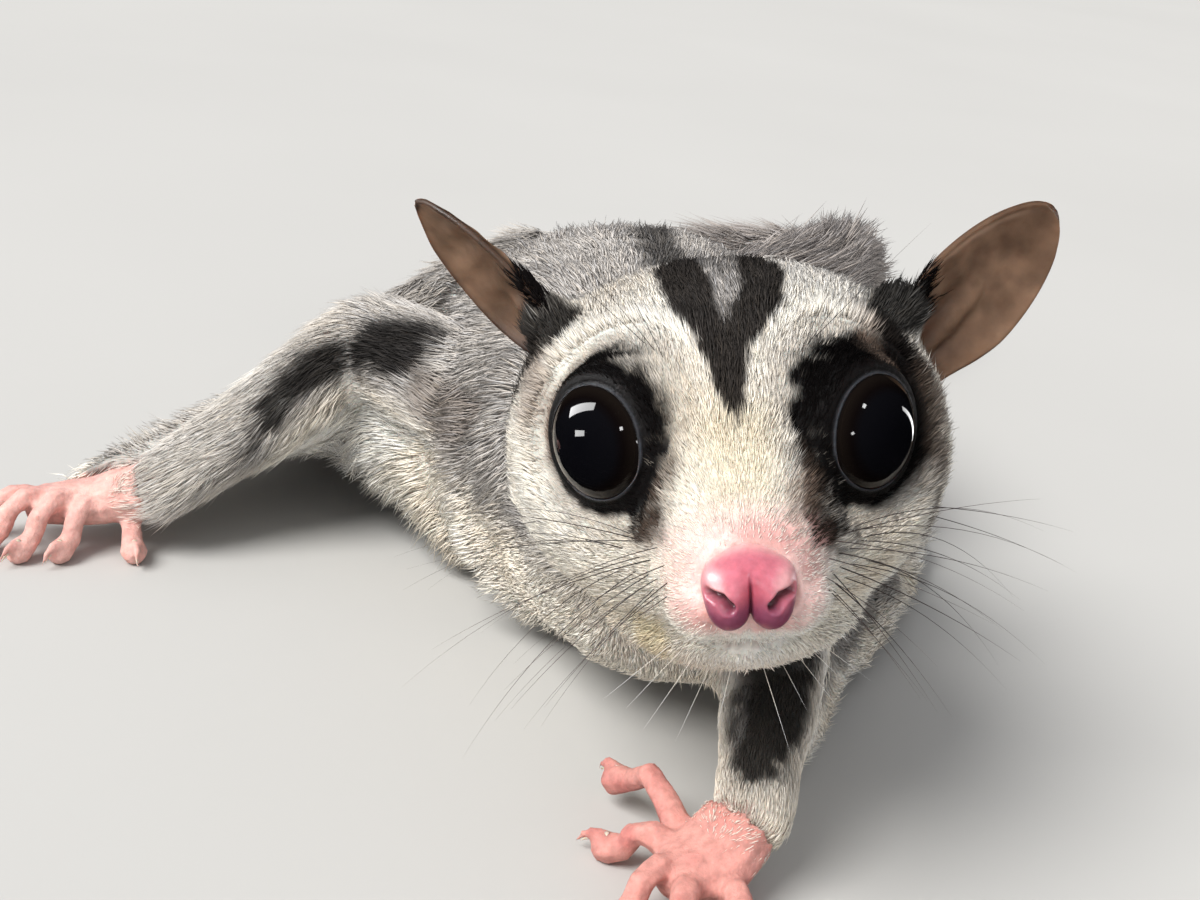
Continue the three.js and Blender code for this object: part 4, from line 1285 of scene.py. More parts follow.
# %% Direction and tip of each tuft
def swirls(places, size, first):
    """Three noises, one along each axis, that turn neighbours the same way."""
    return np.stack([mottle(places, size, first + k) - 0.5 for k in range(3)], axis=1)


along = at_roots(lie, corners, weights)
swirl = swirls(tuft_body, 3.0, 40) + 1.6 * swirls(tuft_body, 11.0, 50) * (~of_head)[:, None]
jitter = random.normal(size=(count, 3))
along = unit(along) + 0.55 * swirl + 0.13 * jitter
along = unit(along - out * (along * out).sum(axis=1, keepdims=True))
length = length * np.clip(random.normal(1, 0.2, count), 0.5, 1.6)
width = width * np.clip(random.normal(1, 0.22, count), 0.5, 1.7)
rise = rise * np.clip(random.normal(1, 0.35, count), 0.2, 2.2) + 0.22 * (mottle(tuft_body, 2.2, 60) - 0.5)
tip = root + along * (length * MM)[:, None] + out * (length * np.maximum(rise - 0.12, 0.04) * MM)[:, None]
print("tips reach", round(float(((tip - root) * out).sum(axis=1).max() / MM), 2), "mm over the skin at most")

# %% [markdown]
# ## Locks
# Fur gathers in small locks, which keeps it from looking combed. One tuft in fourteen leads a lock, and the
# tips of its neighbours lean toward its own. Noise alone would turn neighbours together but not bring their
# tips to a point.

# %% Neighbouring tips lean together
TUFTS_IN_LOCK = 14
lock_count = count // TUFTS_IN_LOCK
lock_pick = random.choice(count, lock_count, replace=False)
locks = KDTree(lock_count)
for index, pick in enumerate(lock_pick.tolist()):
    locks.insert(root[pick].tolist(), index)
locks.balance()
nearest = np.array([locks.find(place)[1] for place in root.tolist()])
lock_root, lock_tip = root[lock_pick][nearest], tip[lock_pick][nearest]
lean = np.where(of_head, 0.26, 0.3)[:, None]
meet = root + (lock_tip - lock_root) * 0.92 + (lock_root - root) * 0.75
tip = tip + (meet - tip) * lean
print("locks:", lock_count)

# %% [markdown]
# ## Colour and bake patches
# Every tuft is darker at its root and palest at its tip, and takes the marking at the place where it grows.
# Its patch in the bake map lies at its root's place on an unwrap of the skin: each part of the body is
# opened out like a sleeve, round its own middle line and along it. Blender's own unwrap would take minutes
# for so many faces.

# %% Colours
tuft_colours = coat_colours(root + (tip - root) * 0.55, tuft_part)
shade = np.clip(random.normal(1, 0.08, count), 0.75, 1.25) * (1 + 0.16 * (mottle(tuft_body, 1.3, 70) - 0.5))
warmth = random.normal(0, 0.02, count)
tuft_colours = tuft_colours * shade[:, None] * (1 + np.stack([warmth, warmth * 0.2, -warmth], axis=1))
tuft_bare = bare_mask(root, tuft_part)
tuft_colours = blend(tuft_colours, 0.5 * tuft_bare * (tuft_colours.mean(axis=1) > 0.3), PINK_HAIR)
print("mean colour of the coat:", np.round(tuft_colours.mean(axis=0), 2))

# %% Unwrap
sleeves = {}
for index in range(len(part_names)):
    own = points[skin_part == index]
    if len(own) < 3:
        sleeves[index] = (np.zeros(3), np.eye(3))
        continue
    centre = own.mean(axis=0)
    spread_ways = np.linalg.eigh(np.cov((own - centre).T))[1]
    sleeves[index] = (centre, spread_ways[:, ::-1])
CELL_EDGE = 0.03  # free border of a part's cell in the map


def sleeve_map(places, parts):
    """Place of each root on the opened-out skin, each part in its own cell of the map."""
    used = np.unique(parts)
    columns = math.ceil(math.sqrt(len(used)))
    rows = math.ceil(len(used) / columns)
    uv = np.zeros((len(places), 2))
    filled = 1 - 2 * CELL_EDGE
    for slot, index in enumerate(used):
        own = parts == index
        centre, axes = sleeves[index]
        local = (places[own] - centre) @ axes
        low, high = local[:, 0].min(), local[:, 0].max()
        u = (np.arctan2(local[:, 1], local[:, 2]) / (2 * math.pi)) % 1
        v = (local[:, 0] - low) / max(high - low, 1e-9)
        uv[own, 0] = (slot % columns + CELL_EDGE + filled * u) / columns
        uv[own, 1] = (slot // columns + CELL_EDGE + filled * v) / rows
    return uv


print("sleeves for", len(sleeves), "parts")

# %% [markdown]
# ## Building the coat
# All tufts share one layout of five points and six triangles, so a piece of coat is built with a few array
# sums. The coat is cut into pieces by part of the body, and large ones again, to keep each mesh within the
# library's limit. Joining it all in one mesh would pass that limit.

# %% Build the coat
SPINDLE = np.array([(0, 2, 1), (0, 3, 2), (0, 1, 3), (1, 2, 4), (2, 3, 4), (3, 1, 4)])
SPINDLE_TONES = np.array([0.8, 0.96, 0.96, 0.99, 1.05])  # at the root, the three middle points and the tip
PATCH = 0.0015 * np.array([(-1, 0), (0, -1), (0, 1), (0.2, 0), (1, 0)])  # the five points in the bake map
SUNK = 0.12  # depth of the root in the skin
COAT_PIECES = {
    "coat_face": (("head", "nose"), "pale_coat"),
    "coat_neck": (("neck",), "pale_coat"),
    "coat_trunk": (("torso",), "grey_coat"),
    "coat_arms": (("upper_arm", "forearm", "hand"), "grey_coat"),
    "coat_legs": (("thigh", "shank", "foot"), "grey_coat"),
    "coat_membranes": (("patagium",), "pale_coat"),
    "coat_tail": (("tail",), "grey_coat"),
}
MOST = 32500  # tufts in one piece
FLOOR_HAIR = 0.05  # tufts under the belly are pressed flat on the floor


def tuft_piece(name, slot_name, start, end, outward, heading, long, wide, base, patches):
    """One piece of coat from the places, directions, sizes, colours and bake patches of its tufts."""
    side = np.cross(outward, heading)
    start = start - outward * SUNK * MM
    middle = start + (end - start) * 0.4 + outward * (long * 0.075 * MM)[:, None]
    half = (wide / 2 * MM)[:, None]
    ring = [middle - side * half, middle + side * half, middle + outward * half * 0.9]
    places = np.stack([start, *ring, end], axis=1).reshape(-1, 3)
    pressed = FLOOR_HAIR * MM * (1 + mottle(places / MM, 0.7, 97))
    places[:, 2] = np.where(places[:, 2] < pressed, pressed, places[:, 2])
    faces = (np.arange(len(start))[:, None, None] * len(SPINDLE_TONES) + SPINDLE).reshape(-1, 3)
    tones = (base[:, None] * SPINDLE_TONES[:, None]).reshape(-1, 3)
    mesh = mesh_from(name, places, faces, tones)
    uv = (patches[:, None] + PATCH).reshape(-1, 2)
    layer = mesh.uv_layers.new(name="OFBake")
    layer.uv.foreach_set("vector", np.asarray(uv[faces.ravel()], np.float32).ravel())
    piece = placed(mesh, coat_material)
    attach(piece, "root")
    print(name, len(start), "tufts,", len(faces), "triangles")


for name, (kinds, slot_name) in COAT_PIECES.items():
    own = np.nonzero(of_kind(tuft_part, *kinds))[0]
    parts_count = math.ceil(len(own) / MOST)
    order = own[np.argsort(root[own, 1 if name == "coat_tail" else 0], kind="stable")]
    for k, chosen in enumerate(np.array_split(order, parts_count)):
        part_name = name if parts_count == 1 else f"{name}_{k + 1}"
        tufts = [of_each[chosen] for of_each in (root, tip, out, along, length, width, tuft_colours)]
        tuft_piece(part_name, slot_name, *tufts, sleeve_map(root[chosen], tuft_part[chosen]))

# %% [markdown]
# ## Eyes
# A glider's eye is a big wet ball, almost all pupil. A sphere with a slightly raised cornea, near black and
# very smooth, mirrors the lights as the real one does. A colour ramp over the distance from the line of the
# gaze gives the iris, a faint warm ring near the edge. A plain black sphere would lose it.

# %% Material of the eyes
eye_material, tree, shader, place = material("wet_eye", **{"Specular IOR Level": 0.3, "IOR": 1.38})
iris = node(tree, "ShaderNodeValToRGB", [("Fac", attribute(tree, "ring").outputs["Fac"])])
RING_TONES = {
    0.0: (0.002, 0.002, 0.003, 1),
    0.5: (0.003, 0.003, 0.004, 1),
    0.6: (0.003, 0.002, 0.002, 1),
    0.7: (0.007, 0.005, 0.004, 1),
    0.82: (0.002, 0.002, 0.003, 1),
}
stops = iris.color_ramp.elements
stops[1].position = 0.5
for index, (position, tone) in enumerate(RING_TONES.items()):
    stop = stops[index] if index < 2 else stops.new(position)
    stop.color = tone
tree.links.new(iris.outputs["Color"], shader.inputs["Base Color"])
tint = grouped(tree, tint_group, [("Place", place)], Scale=700, Amount=0.5)
nearly_smooth = {"To Min": 0.02, "To Max": 0.06}
rough = node(tree, "ShaderNodeMapRange", [("Value", tint.outputs["Mask"])], **nearly_smooth)
tree.links.new(rough.outputs["Result"], shader.inputs["Roughness"])
print("ring of the iris in", len(stops), "tones")

# %% Eyeballs
CORNEA_RISE = 0.012  # share of the radius
for side, label in ((1, "left"), (-1, "right")):
    gaze = HEAD_AXES @ eye_axes(side)[0]
    ball = bmesh.new()
    bmesh.ops.create_uvsphere(ball, u_segments=72, v_segments=48, radius=EYE_RADIUS * MM)
    for vert in ball.verts:
        ahead = vert.co.z / (EYE_RADIUS * MM)
        vert.co *= 1 + CORNEA_RISE * float(ramp(ahead, 0.55, 0.95))
    turn_to_gaze = Vector((0, 0, 1)).rotation_difference(Vector(gaze)).to_matrix().to_4x4()
    onto_face = Matrix.Translation(Vector(EYE_AT[side])) @ turn_to_gaze
    bmesh.ops.transform(ball, matrix=onto_face, verts=ball.verts)
    eye_mesh = mesh_of(ball, f"eyeball_{label}")
    measure(eye_mesh, "ring", round_eye(side, arrays_of(eye_mesh)[0])[0] / EYE_RADIUS)
    eyeball = placed(eye_mesh, eye_material)
    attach(eyeball, "root")
    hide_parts(f"eye_{label}")
print("eyeball radius", round(EYE_RADIUS, 2), "mm")

# %% [markdown]
# ## Nose
# The bare nose is two soft lobes under a rounded bridge, parted by a groove, with a comma-shaped nostril
# cut into each side. A ball of fine triangles is drawn in, ray by ray, onto the blended surface of a few
# ellipsoids, then the nostrils and the groove are pressed in. Booleans would leave hard edges where they
# meet.

# %% Form of the nose pad
NOSE_CENTRE = np.array([0, -13.4, -5.8])
LOBE = ([1.35, -14.2, -6.1], [1.6, 2.1, 2.15])  # middle and half size, in the head's frame
WING = ([2.1, -13.5, -5.2], [1.0, 1.6, 1.3])
BRIDGE = ([0, -12.9, -4.7], [2.3, 2.7, 1.7])
HALVINGS = 24  # of the search for the surface along each ray


def blob(p, centre, radii):
    return (np.linalg.norm((p - centre) / radii, axis=1) - 1) * min(radii)


def soft_union(a, b, k):
    h = np.clip(0.5 + 0.5 * (b - a) / k, 0, 1)
    return b + (a - b) * h - k * h * (1 - h)


def nose_field(p):
    """Below 0 inside the nose."""
    mirrored = p * [-1, 1, 1]
    lobes = soft_union(blob(p, *LOBE), blob(mirrored, *LOBE), 0.35)
    wings = soft_union(blob(p, *WING), blob(mirrored, *WING), 0.2)
    return soft_union(soft_union(lobes, blob(p, *BRIDGE), 0.9), wings, 0.6)


ball = bmesh.new()
bmesh.ops.create_icosphere(ball, subdivisions=6, radius=1)
rays = unit(np.array([v.co for v in ball.verts]))
near, far = np.full(len(rays), 0.3), np.full(len(rays), 6.0)
for step in range(HALVINGS):
    half = (near + far) / 2
    outside = nose_field(NOSE_CENTRE + rays * half[:, None]) > 0
    far, near = np.where(outside, half, far), np.where(outside, near, half)
pad = NOSE_CENTRE + rays * near[:, None]
nostrils = np.zeros(len(pad))
for side in (1, -1):
    comma = [(side * 1.55, -16.2, -5.9), (side * 2.0, -15.9, -5.35), (side * 2.8, -14.9, -5.25)]
    nostrils = np.maximum(nostrils, inside(path_distance(pad, comma, [0.08, 0.02, -0.06]), 0.3, 0.22))
groove = inside(np.abs(pad[:, 0]), 0.08, 0.13) * inside(pad[:, 2], -4.3, 0.7) * (pad[:, 1] < -13)
pad = pad - unit(pad - NOSE_CENTRE) * (0.85 * nostrils + 0.45 * groove)[:, None]
for vert, place_now in zip(ball.verts, from_head(pad)):
    vert.co = place_now
nose_mesh = mesh_of(ball, "nose_pad")
print("nose pad:", len(nose_mesh.polygons), "triangles")

# %% Colours and finish of the nose
uneven = mottle(pad, 1.1, 80) - 0.5
x, y, z = pad.T
facing_out = ramp(-y, 13.4, 15.0)
low_lobe = inside(z + 0.7 * uneven, -5.9, 0.9) * facing_out
middle_line = inside(np.abs(x) + 0.4 * uneven, 0.75, 0.7) * inside(z, -3.9, 0.9) * facing_out
side_gleam = inside(np.abs(np.abs(x) - 2.3) + 0.4 * uneven, 0.6, 0.5) * inside(np.abs(z + 4.6), 0.7, 0.5)
nose_colours = np.tile([0.56, 0.16, 0.21], (len(pad), 1))
for mask, tone in (
    (ramp(y, -14.4, -12.2), [0.76, 0.4, 0.39]),
    (0.5 * side_gleam, [0.85, 0.56, 0.54]),
    (0.8 * middle_line, [0.42, 0.07, 0.11]),
    (0.85 * low_lobe, [0.2, 0.045, 0.1]),
    # painted shade: the nostrils and the groove are darkened as the shade in their hollows
    (0.9 * nostrils, [0.1, 0.02, 0.03]),
    (0.9 * groove, [0.12, 0.015, 0.03]),
):
    nose_colours = blend(nose_colours, mask, np.array(tone))
paint(nose_mesh, "hide", nose_colours)
nose_material = patterned(
    "moist_nose",
    "hide",
    tint=(1800, 0.12),
    rough=(0.25, 0.45),
    folds=(5200, 0.2, 0.00004),
    **{"Coat Weight": 0.25, "Coat Roughness": 0.3},
    **soft_flesh(0.4, 0.0009, (1, 0.3, 0.25)),
)
nose_piece = placed(nose_mesh, nose_material)
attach(nose_piece, "root")
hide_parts("nose")
print("nose's mean colour:", np.round(nose_colours.mean(axis=0), 2))

# %% [markdown]
# ## Ears
# The ears are thin bare leather: a leaf bent into a cup, rolled at its rim and folded where it meets the
# head. A fine grid is laid onto the leaf's shape and given a wall, so both faces match. It could be cut
# from a flat sheet and bent with modifiers, but then its rim would not follow the measured outline. Light
# comes through the thin parts, so the material lets some of it scatter inside.

# %% Measures and material of the ears
EARS = {
    1: dict(root=(15.1, 14, 0.8), along=(0.71, 0.25, 0.64), faces=(0.35, -0.9, -0.1), cup=2.6),
    -1: dict(root=(-13.6, 14.0, 2.6), along=(-0.655, 0.41, 0.635), faces=(-0.92, -0.34, -0.16), cup=2.4),
}
EAR_LENGTH, EAR_WIDTH = 15.5, 10.2
EAR_WALL = 0.42
EAR_FOOT = 0.12  # share of the length that is sunk in the head
ear_material = patterned(
    "ear_leather",
    "hide",
    tint=(420, 0.28),
    rough=(0.35, 0.6),
    folds=(2600, 0.25, 0.00008),
    **{"Specular IOR Level": 0.3},
    **soft_flesh(0.3, 0.0014, (1, 0.5, 0.3)),
)


def ear_axes(side):
    """The ear's root, the way it points, the way it faces and sideways, in the head's frame."""
    shape = EARS[side]
    axis = unit(np.array(shape["along"], float))
    opening = np.array(shape["faces"], float)
    opening = unit(opening - axis * (opening @ axis))
    return np.array(shape["root"]), axis, opening, np.cross(axis, opening)


def ear_taper(s):
    """How the ear narrows to its tip, by the share of its length."""
    return (1 - np.clip((s - 0.3) / 0.7, 0, 1) ** 2.2) ** 0.62


def ear_half(s):
    """Half the ear's width in millimetres."""
    return EAR_WIDTH / 2 * (0.66 + 0.34 * ramp(s, -EAR_FOOT, 0.4)) * ear_taper(s) + 0.2


def line_on(t, s, at, slant, thickness):
    """1 on a slanting line of the leaf, 0 away from it."""
    return np.exp(-(((t - at - slant * s) / thickness) ** 2))


print("ears", EAR_LENGTH, "by", EAR_WIDTH, "mm")


# %% Form of an ear
def ear_leaf(side, name):
    root_at, axis, opening, sideways = ear_axes(side)
    leaf = bmesh.new()
    bmesh.ops.create_grid(leaf, x_segments=44, y_segments=56, size=1)
    t, v = np.array([v.co for v in leaf.verts])[:, :2].T
    s = (1 + EAR_FOOT) * (1 - (1 - (v + 1) / 2) ** 1.5) - EAR_FOOT
    half = ear_half(s)
    hollow = EARS[side]["cup"] * (1 - t * t) * (1 - 0.8 * s) * np.sqrt(ear_taper(s))
    rib = 0.85 * line_on(t, s, 0.35, -0.5, 0.14) * inside(s, 0.42, 0.2)
    rib += 0.65 * line_on(t, s, -0.45, 0.3, 0.12) * inside(s, 0.35, 0.2)
    ripple = 0.12 * np.sin(s * 34 + 3 * t) * inside(np.abs(t), 0.75, 0.2)
    ripple = ripple * ramp(s, 0.1, 0.3) * (1 - ramp(s, 0.75, 0.95))
    rolled = 0.28 * np.exp(-((1 - np.abs(t)) * half / 0.5)) * ramp(s, 0.0, 0.2) * inside(s, 0.9, 0.08)
    flat = root_at + axis * (s * EAR_LENGTH)[:, None] + sideways * (t * half)[:, None]
    places = flat - opening * (hollow - rib - ripple - rolled)[:, None]
    for vert, place_now in zip(leaf.verts, from_head(places)):
        vert.co = place_now
    bmesh.ops.recalc_face_normals(leaf, faces=leaf.faces)
    all_ways = dict(use_axis_x=True, use_axis_y=True, use_axis_z=True)
    for step in range(2):
        bmesh.ops.smooth_vert(leaf, verts=leaf.verts, factor=0.4, **all_ways)
    bmesh.ops.solidify(leaf, geom=leaf.verts[:] + leaf.edges[:] + leaf.faces[:], thickness=EAR_WALL * MM)
    bmesh.ops.recalc_face_normals(leaf, faces=leaf.faces)
    bmesh.ops.triangulate(leaf, faces=leaf.faces)
    return mesh_of(leaf, name)


# %% Colours of an ear
def ear_map(side, places):
    """Place of each point on the leaf: across, along, and how near the front edge."""
    root_at, axis, opening, sideways = ear_axes(side)
    offset = in_head(places) - root_at
    s = offset @ axis / EAR_LENGTH
    t = offset @ sideways / ear_half(s)
    return t, s, ramp(t * side * np.sign(sideways[0]) * -1, -0.2, 0.9)


def ear_colours(side, places):
    t, s, front = ear_map(side, places)
    head = in_head(places)
    # painted shade: dark lines beside the ear's ribs, where shade falls in its folds
    crease_shade = line_on(t, s, 0.52, -0.5, 0.1) * inside(s, 0.42, 0.2)
    crease_shade += line_on(t, s, -0.3, 0.3, 0.09) * inside(s, 0.38, 0.2)
    edge_far = (1 - np.abs(t)) * ear_half(s)
    # painted highlight: a pale band just inside the front edge, where the edge catches the light
    pale = inside(np.abs(edge_far - 1.0), 0.28, 0.3) * front * ramp(s, 0.1, 0.3) * inside(s, 0.85, 0.1)
    rim = np.maximum(inside(edge_far, 0.2, 0.3), ramp(s, 0.97, 1.0))
    low_side = t * side * np.sign(ear_axes(side)[3][2]) < 0
    colours = np.tile([0.17, 0.1, 0.06], (len(head), 1))
    for mask, tone in (
        (0.65 * ramp(mottle(head, 2.8, 90), 0.3, 0.75), [0.26, 0.16, 0.1]),
        (0.55 * crease_shade * ramp(s, 0.0, 0.12), [0.07, 0.04, 0.025]),
        (0.25 * ramp(mottle(head, 0.7, 91), 0.55, 0.8), [0.1, 0.05, 0.03]),
        (0.7 * pale, [0.42, 0.3, 0.21]),
        (0.85 * rim, [0.03, 0.018, 0.014]),
        (0.85 * inside(s + 0.25 * low_side, 0.2, 0.16), [0.035, 0.02, 0.017]),
    ):
        colours = blend(colours, mask, np.array(tone))
    return colours


# %% Fur on an ear's root
EAR_TUFTS = 34.0  # per square millimetre where the fur is full
EAR_HAIR, EAR_HAIR_WIDTH = 1.5, 0.1


def ear_fur(side, label, mesh):
    """Black fur that climbs from the head onto the ear's front edge."""
    places, faces = arrays_of(mesh)
    t, s, front = ear_map(side, places)
    furred = inside(s, 0.03 + 0.24 * front, 0.07) * ramp(s, -0.1, -0.02) * ramp(front, 0.05, 0.4)
    corners, weights, random = plant(EAR_TUFTS * furred, 17 + side, places, faces)
    start = at_roots(places, corners, weights)
    outward = unit(at_roots(normals_of(places, faces), corners, weights))
    heading = HEAD_AXES @ ear_axes(side)[1] + 0.2 * random.normal(size=start.shape)
    heading = unit(heading - outward * (heading * outward).sum(axis=1, keepdims=True))
    long = EAR_HAIR * np.clip(random.normal(1, 0.2, len(start)), 0.5, 1.5)
    end = start + heading * (long * MM)[:, None] + outward * (long * 0.1 * MM)[:, None]
    wide = np.full(len(start), EAR_HAIR_WIDTH)
    patches = np.stack([at_roots(t, corners, weights), at_roots(s, corners, weights)], axis=1)
    patches = patches * [0.2, 0.8] + [0.25 if side > 0 else 0.75, 0.15]
    tones = BLACK * np.clip(random.normal(1.1, 0.25, len(start)), 0.5, 2)[:, None]
    tuft_piece(f"coat_ear_{label}", "grey_coat", start, end, outward, heading, long, wide, tones, patches)


# %% Ears
for side, label in ((1, "left"), (-1, "right")):
    ear_mesh = ear_leaf(side, f"ear_{label}_leather")
    paint(ear_mesh, "hide", ear_colours(side, arrays_of(ear_mesh)[0]))
    ear_piece = placed(ear_mesh, ear_material)
    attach(ear_piece, "root")
    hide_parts(f"ear_{label}")
    print("ear", label, len(ear_mesh.polygons), "triangles")
    ear_fur(side, label, ear_mesh)

# %% [markdown]
# ## Claws
# Each finger ends in a small hooked claw of pale horn. A cone is cut into rings, bent and set on a
# fingertip, in the direction that the finger points. Modelling each claw alone would give the same shape
# many times over.

# %% Where the fingers point
# for each finger, from where to where it points, in the body's frame, and its height over the floor
FINGERS = {
    "hand_right": [
        ((-55, 58), (-53.4, 54.4), 1.2),
        ((-58.4, 57), (-60, 52.2), 1.2),
        ((-61, 56.6), (-63.6, 51), 1.2),
        ((-63.4, 56.6), (-67.2, 51.6), 1.2),
        ((-65, 57.8), (-69.8, 54.6), 1.2),
    ],
    "hand_left": [
        ((0.6, 14.6), (-4.6, 22.4), 2.6),
        ((-0.4, 12.6), (-4.8, 14.6), 1.2),
        ((-0.2, 9.8), (-3.6, 5), 1.2),
        ((1.4, 8.2), (0.4, 1.8), 1.2),
        ((4.4, 8.4), (6, 3), 1.2),
    ],
}
TOES = [
    *[((3, -12.2), (3, -19)), ((4.6, -12.2), (6.2, -19.6))],
    *[((6.2, -11.4), (10.6, -18.2)), ((7.2, -9.6), (12.6, -13.8))],
]
TOE_HEIGHT = 1.2
for name, side, ankle in (("foot_left", 1, (16.5, 112)), ("foot_right", -1, (-31, 111))):
    FINGERS[name] = []
    for toe in TOES:
        start, end = ((ankle[0] + side * a, ankle[1] + b) for a, b in toe)
        FINGERS[name].append((start, end, TOE_HEIGHT))
print("claws to make:", sum(len(f) for f in FINGERS.values()))

# %% Claws
CLAW_LENGTH = 2.6
CLAW_RISE = 0.75  # of the claw's root over the finger's middle
claw_material = patterned(
    "claw_horn",
    (0.75, 0.62, 0.5),
    (2500, 0.25),
    (0.2, 0.4),
    **{"Subsurface Weight": 0.3, "Subsurface Scale": 0.0008, "Coat Weight": 0.2},
)
cone = dict(cap_ends=True, segments=10, radius1=0.6, radius2=0.05, depth=CLAW_LENGTH)
for name, fingers in FINGERS.items():
    claws = bmesh.new()
    for start, end, height in fingers:
        made = bmesh.ops.create_cone(claws, **cone)["verts"]
        edges = {e for v in made for e in v.link_edges if abs(e.verts[0].co.z - e.verts[1].co.z) > 1}
        bmesh.ops.subdivide_edges(claws, edges=list(edges), cuts=5)
        verts = list({v for e in claws.edges for v in e.verts if not v.tag})
        for vert in verts:
            reach = vert.co.z + CLAW_LENGTH / 2
            bend = 0.16 * reach**2
            vert.co = Vector((reach - 0.05 * reach**2, vert.co.y * 0.7, vert.co.x - bend))
            vert.tag = True
        heading = math.atan2(end[1] - start[1], end[0] - start[0])
        root_at = from_body((end[0], end[1], height + CLAW_RISE))
        matrix = Matrix.Translation(Vector(root_at)) @ Matrix.Rotation(heading, 4, "Z") @ Matrix.Scale(MM, 4)
        bmesh.ops.transform(claws, matrix=matrix, verts=verts)
    for vert in claws.verts:
        vert.co.z = max(vert.co.z, 0.02 * MM)
    bmesh.ops.recalc_face_normals(claws, faces=claws.faces)
    claw_piece = placed(mesh_of(claws, f"claws_{name}"), claw_material)
    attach(claw_piece, "root")
print("claws on", len(FINGERS), "paws")

# %% [markdown]
# ## Whiskers
# Long tapering bristles grow from both whisker pads, a few from the brows and the chin. They are too fine
# for solids, so each is a four-sided tube that thins to a point along a gentle bend. A bevelled curve would
# do, but the library takes only meshes.

# %% Helper for a whisker
whisker_material = patterned("whisker", "coat", (300, 0.2), (0.25, 0.45), **{"Specular IOR Level": 0.5})
random = np.random.default_rng(23)
skin_tree = BVHTree.FromPolygons(points.tolist(), triangles.tolist())
whisker_points, whisker_faces, whisker_tones = [], [], []
WHISKER_STEPS = 14
DARK, PALE = (0.03, 0.022, 0.02), (0.6, 0.55, 0.48)


def whisker(at, heading, length_mm, sag, thickness=0.13, tone=DARK):
    """A tapering four-sided tube from a point of the skin, bending down and back along its length."""
    found = skin_tree.find_nearest(Vector(from_head(at)))
    start = in_head(np.array(found[0]))
    heading = unit(np.array(heading, float))
    side = unit(np.cross(heading, [0, 0, 1]))
    lift = np.cross(side, heading)
    base = len(whisker_points)
    for k in range(WHISKER_STEPS + 1):
        t = k / WHISKER_STEPS
        sink = np.array([0, 0, -1]) * sag * t * t
        swept = np.array([0, 1, 0]) * 0.14 * length_mm * t**1.6
        centre = start + heading * (t * length_mm - 0.6) + sink + swept
        radius = thickness / 2 * (1 - 0.93 * t)
        for corner in range(4):
            angle = corner * math.pi / 2
            whisker_points.append(centre + (side * math.cos(angle) + lift * math.sin(angle)) * radius)
            whisker_tones.append(np.array(tone) * (1 + 3.0 * t * t))
    for k in range(WHISKER_STEPS):
        for corner in range(4):
            a, b = base + k * 4 + corner, base + k * 4 + (corner + 1) % 4
            whisker_faces.extend([(a, b, b + 4), (a, b + 4, a + 4)])
    last = base + WHISKER_STEPS * 4
    for end, order in ((base, (0, 2, 1)), (base, (0, 3, 2)), (last, (0, 1, 2)), (last, (0, 2, 3))):
        whisker_faces.append(tuple(end + o for o in order))


# %% Whiskers
# rows on the whisker pad: place of the first root, step to the next, heading of the first and turn to the
# next, length of the first and how many
ROWS = [
    ((6.0, -9.6, -4.4), (0.75, 1.2, -0.1), (1.0, -0.45, 0.1), (0.0, 0.3, 0.06), 13, 4),
    ((5.6, -10.2, -5.5), (0.7, 1.2, -0.15), (1.0, -0.5, -0.12), (0.0, 0.3, 0.02), 12, 5),
    ((5.0, -10.8, -6.5), (0.7, 1.2, -0.2), (1.0, -0.5, -0.35), (0.0, 0.3, -0.04), 10, 5),
    ((4.6, -11.0, -7.5), (0.75, 1.2, -0.25), (0.95, -0.4, -0.65), (0.0, 0.25, -0.08), 8, 4),
]
for side in (1, -1):
    for first, onward, heading, turning, size, many in ROWS:
        for k in range(many):
            shake = random.normal(size=3) * [0.12, 0.16, 0.16]
            at = (np.array(first) + np.array(onward) * (k + 0.3 * random.random())) * [side, 1, 1]
            aim = (np.array(heading) + np.array(turning) * k + shake) * [side, 1, 1]
            reach = size + 1.9 * k + 4 * random.random() - 1.5
            sag = 0.02 * reach**2 * (0.5 + random.random())
            whisker(at, aim, reach, sag, 0.075 + 0.035 * random.random())
    for k in range(3):
        whisker((side * (4.8 + 0.6 * k), 1.2 + k, 6), (side * (0.4 + 0.25 * k), -0.2, 1), 9 + 2 * k, 1, 0.06)
    for k in range(5):
        aim = (side * (0.3 + 0.22 * k), -0.5 + 0.1 * k, -1)
        at = (side * (0.9 + 1.1 * k), -9.5 + k, -12.8 - 0.2 * k)
        whisker(at, aim, 5 + 3 * random.random(), 0.3, 0.06, PALE)
    for k in range(2):
        whisker((side * 12.8, 3 + 2 * k, -7 - k), (side * 1.0, 0.2, -0.2 - 0.2 * k), 13, 2, 0.07)
whisker_places = from_head(np.array(whisker_points))
whisker_mesh = mesh_from("whiskers", whisker_places, np.array(whisker_faces), np.array(whisker_tones))
whiskers = placed(whisker_mesh, whisker_material)
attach(whiskers, "root")
print("whiskers:", len(whisker_faces), "triangles")

# %% [markdown]
# ## Floor
# A plain pale floor, wide enough to reach past the frame. It doesn't show in mirrors, because its
# reflection would turn the black eyes grey.

# %% Stage
floor = bmesh.new()
bmesh.ops.create_grid(floor, x_segments=1, y_segments=1, size=3)
dull = {"Roughness": 0.85, "Specular IOR Level": 0.08}
floor_material, tree, shader, place = material("pale_floor", **dull)
tint = grouped(tree, tint_group, [("Place", place)], Color=(0.52, 0.515, 0.5, 1), Scale=8, Amount=0.02)
tree.links.new(tint.outputs["Color"], shader.inputs["Base Color"])
ground = placed(mesh_of(floor, "floor"), floor_material)
ground.visible_glossy = False
print("floor", round(ground.dimensions.x, 1), "metres wide")

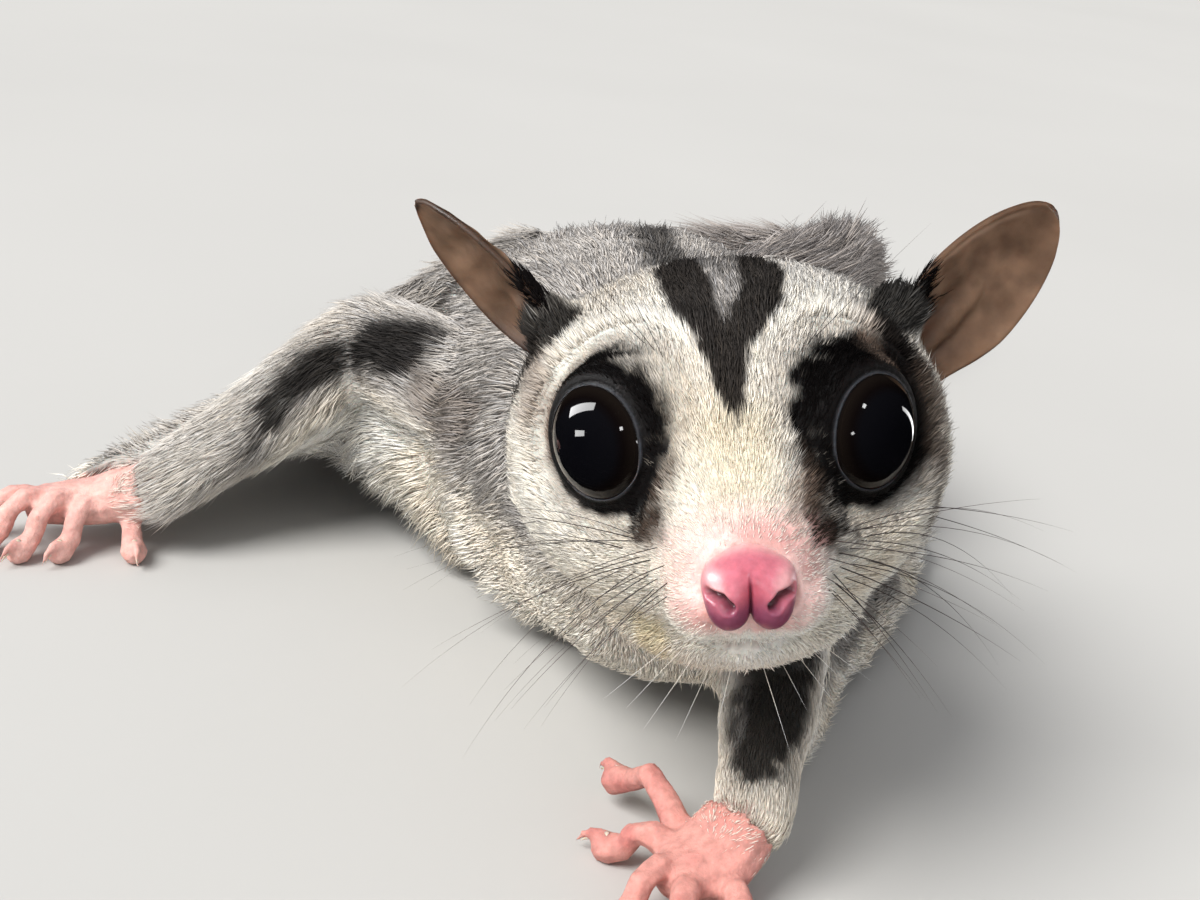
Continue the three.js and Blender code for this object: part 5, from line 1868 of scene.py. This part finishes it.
# %% [markdown]
# ## Light
# Soft studio light: a wide, warm daylight from the upper left in front and an even sky light the animal and
# the floor. Both are kept out of mirrors. The bright bars and dots in the wet eyes and on the nose come
# from small panels, which light nothing else. One set of lights could do both, but moving a gleam would
# then change the shadows.


# %% Lights
FACE = (-3, 14, 38)  # the panels' middle, in the body's frame
PANEL_FAR = 430  # millimetres from the face


def panel(name, way, size, watts, long_way=(0, 1, 0)):
    """A lit rectangle seen from the face in direction `way`, its longer side along `long_way`."""
    light = bpy.data.lights.new(name, "AREA")
    light.shape = "RECTANGLE"
    light.size, light.size_y = size
    light.energy = watts
    facing = unit(np.array(way, float))
    wide = np.array(long_way, float)
    wide = unit(wide - facing * (wide @ facing))
    axes = np.stack([wide, np.cross(facing, wide), facing], axis=1)
    lamp = bpy.data.objects.new(name, light)
    place = from_body(FACE) + facing * PANEL_FAR * MM
    lamp.matrix_world = Matrix.Translation(Vector(place)) @ Matrix(axes.tolist()).to_4x4()
    lamp.visible_diffuse = False
    bpy.context.scene.collection.objects.link(lamp)


panel("high_bar", (-0.93, 0.105, 0.353), (0.34, 0.085), 2.6, (0.13, -0.57, 0.58))
panel("low_bar", (-0.96, -0.22, -0.05), (0.13, 0.05), 0.6, (0.07, -0.34, 0.14))
panel("right_dot", (0.45, -0.47, 0.74), (0.05, 0.035), 0.25)
panel("low_dot", (0.276, -0.944, 0.191), (0.035, 0.03), 0.12)
panel("middle_dot", (-0.197, -0.867, 0.458), (0.04, 0.035), 0.2)
panel("edge_line", (0.7, 0.68, -0.1), (0.4, 0.03), 0.35, (-0.29, 0.26, -0.41))
daylight = bpy.data.lights.new("daylight", "SUN")
daylight.energy = 4.1
daylight.angle = math.radians(34)
daylight.color = (1, 0.985, 0.96)
sun = bpy.data.objects.new("daylight", daylight)
sun.rotation_euler = Vector((0.55, 0.5, -0.8)).to_track_quat("-Z", "Y").to_euler()
sun.visible_glossy = False
bpy.context.scene.collection.objects.link(sun)
world = bpy.data.worlds.new("room")
bpy.context.scene.world = world
world.use_nodes = True
sky = world.node_tree.nodes["Background"].inputs
sky["Color"].default_value = (0.96, 0.97, 1.0, 1)
sky["Strength"].default_value = 0.58
world.cycles_visibility.glossy = False
bpy.context.scene.view_settings.view_transform = "Standard"
print("lights:", len(bpy.data.lights), "and the sky")
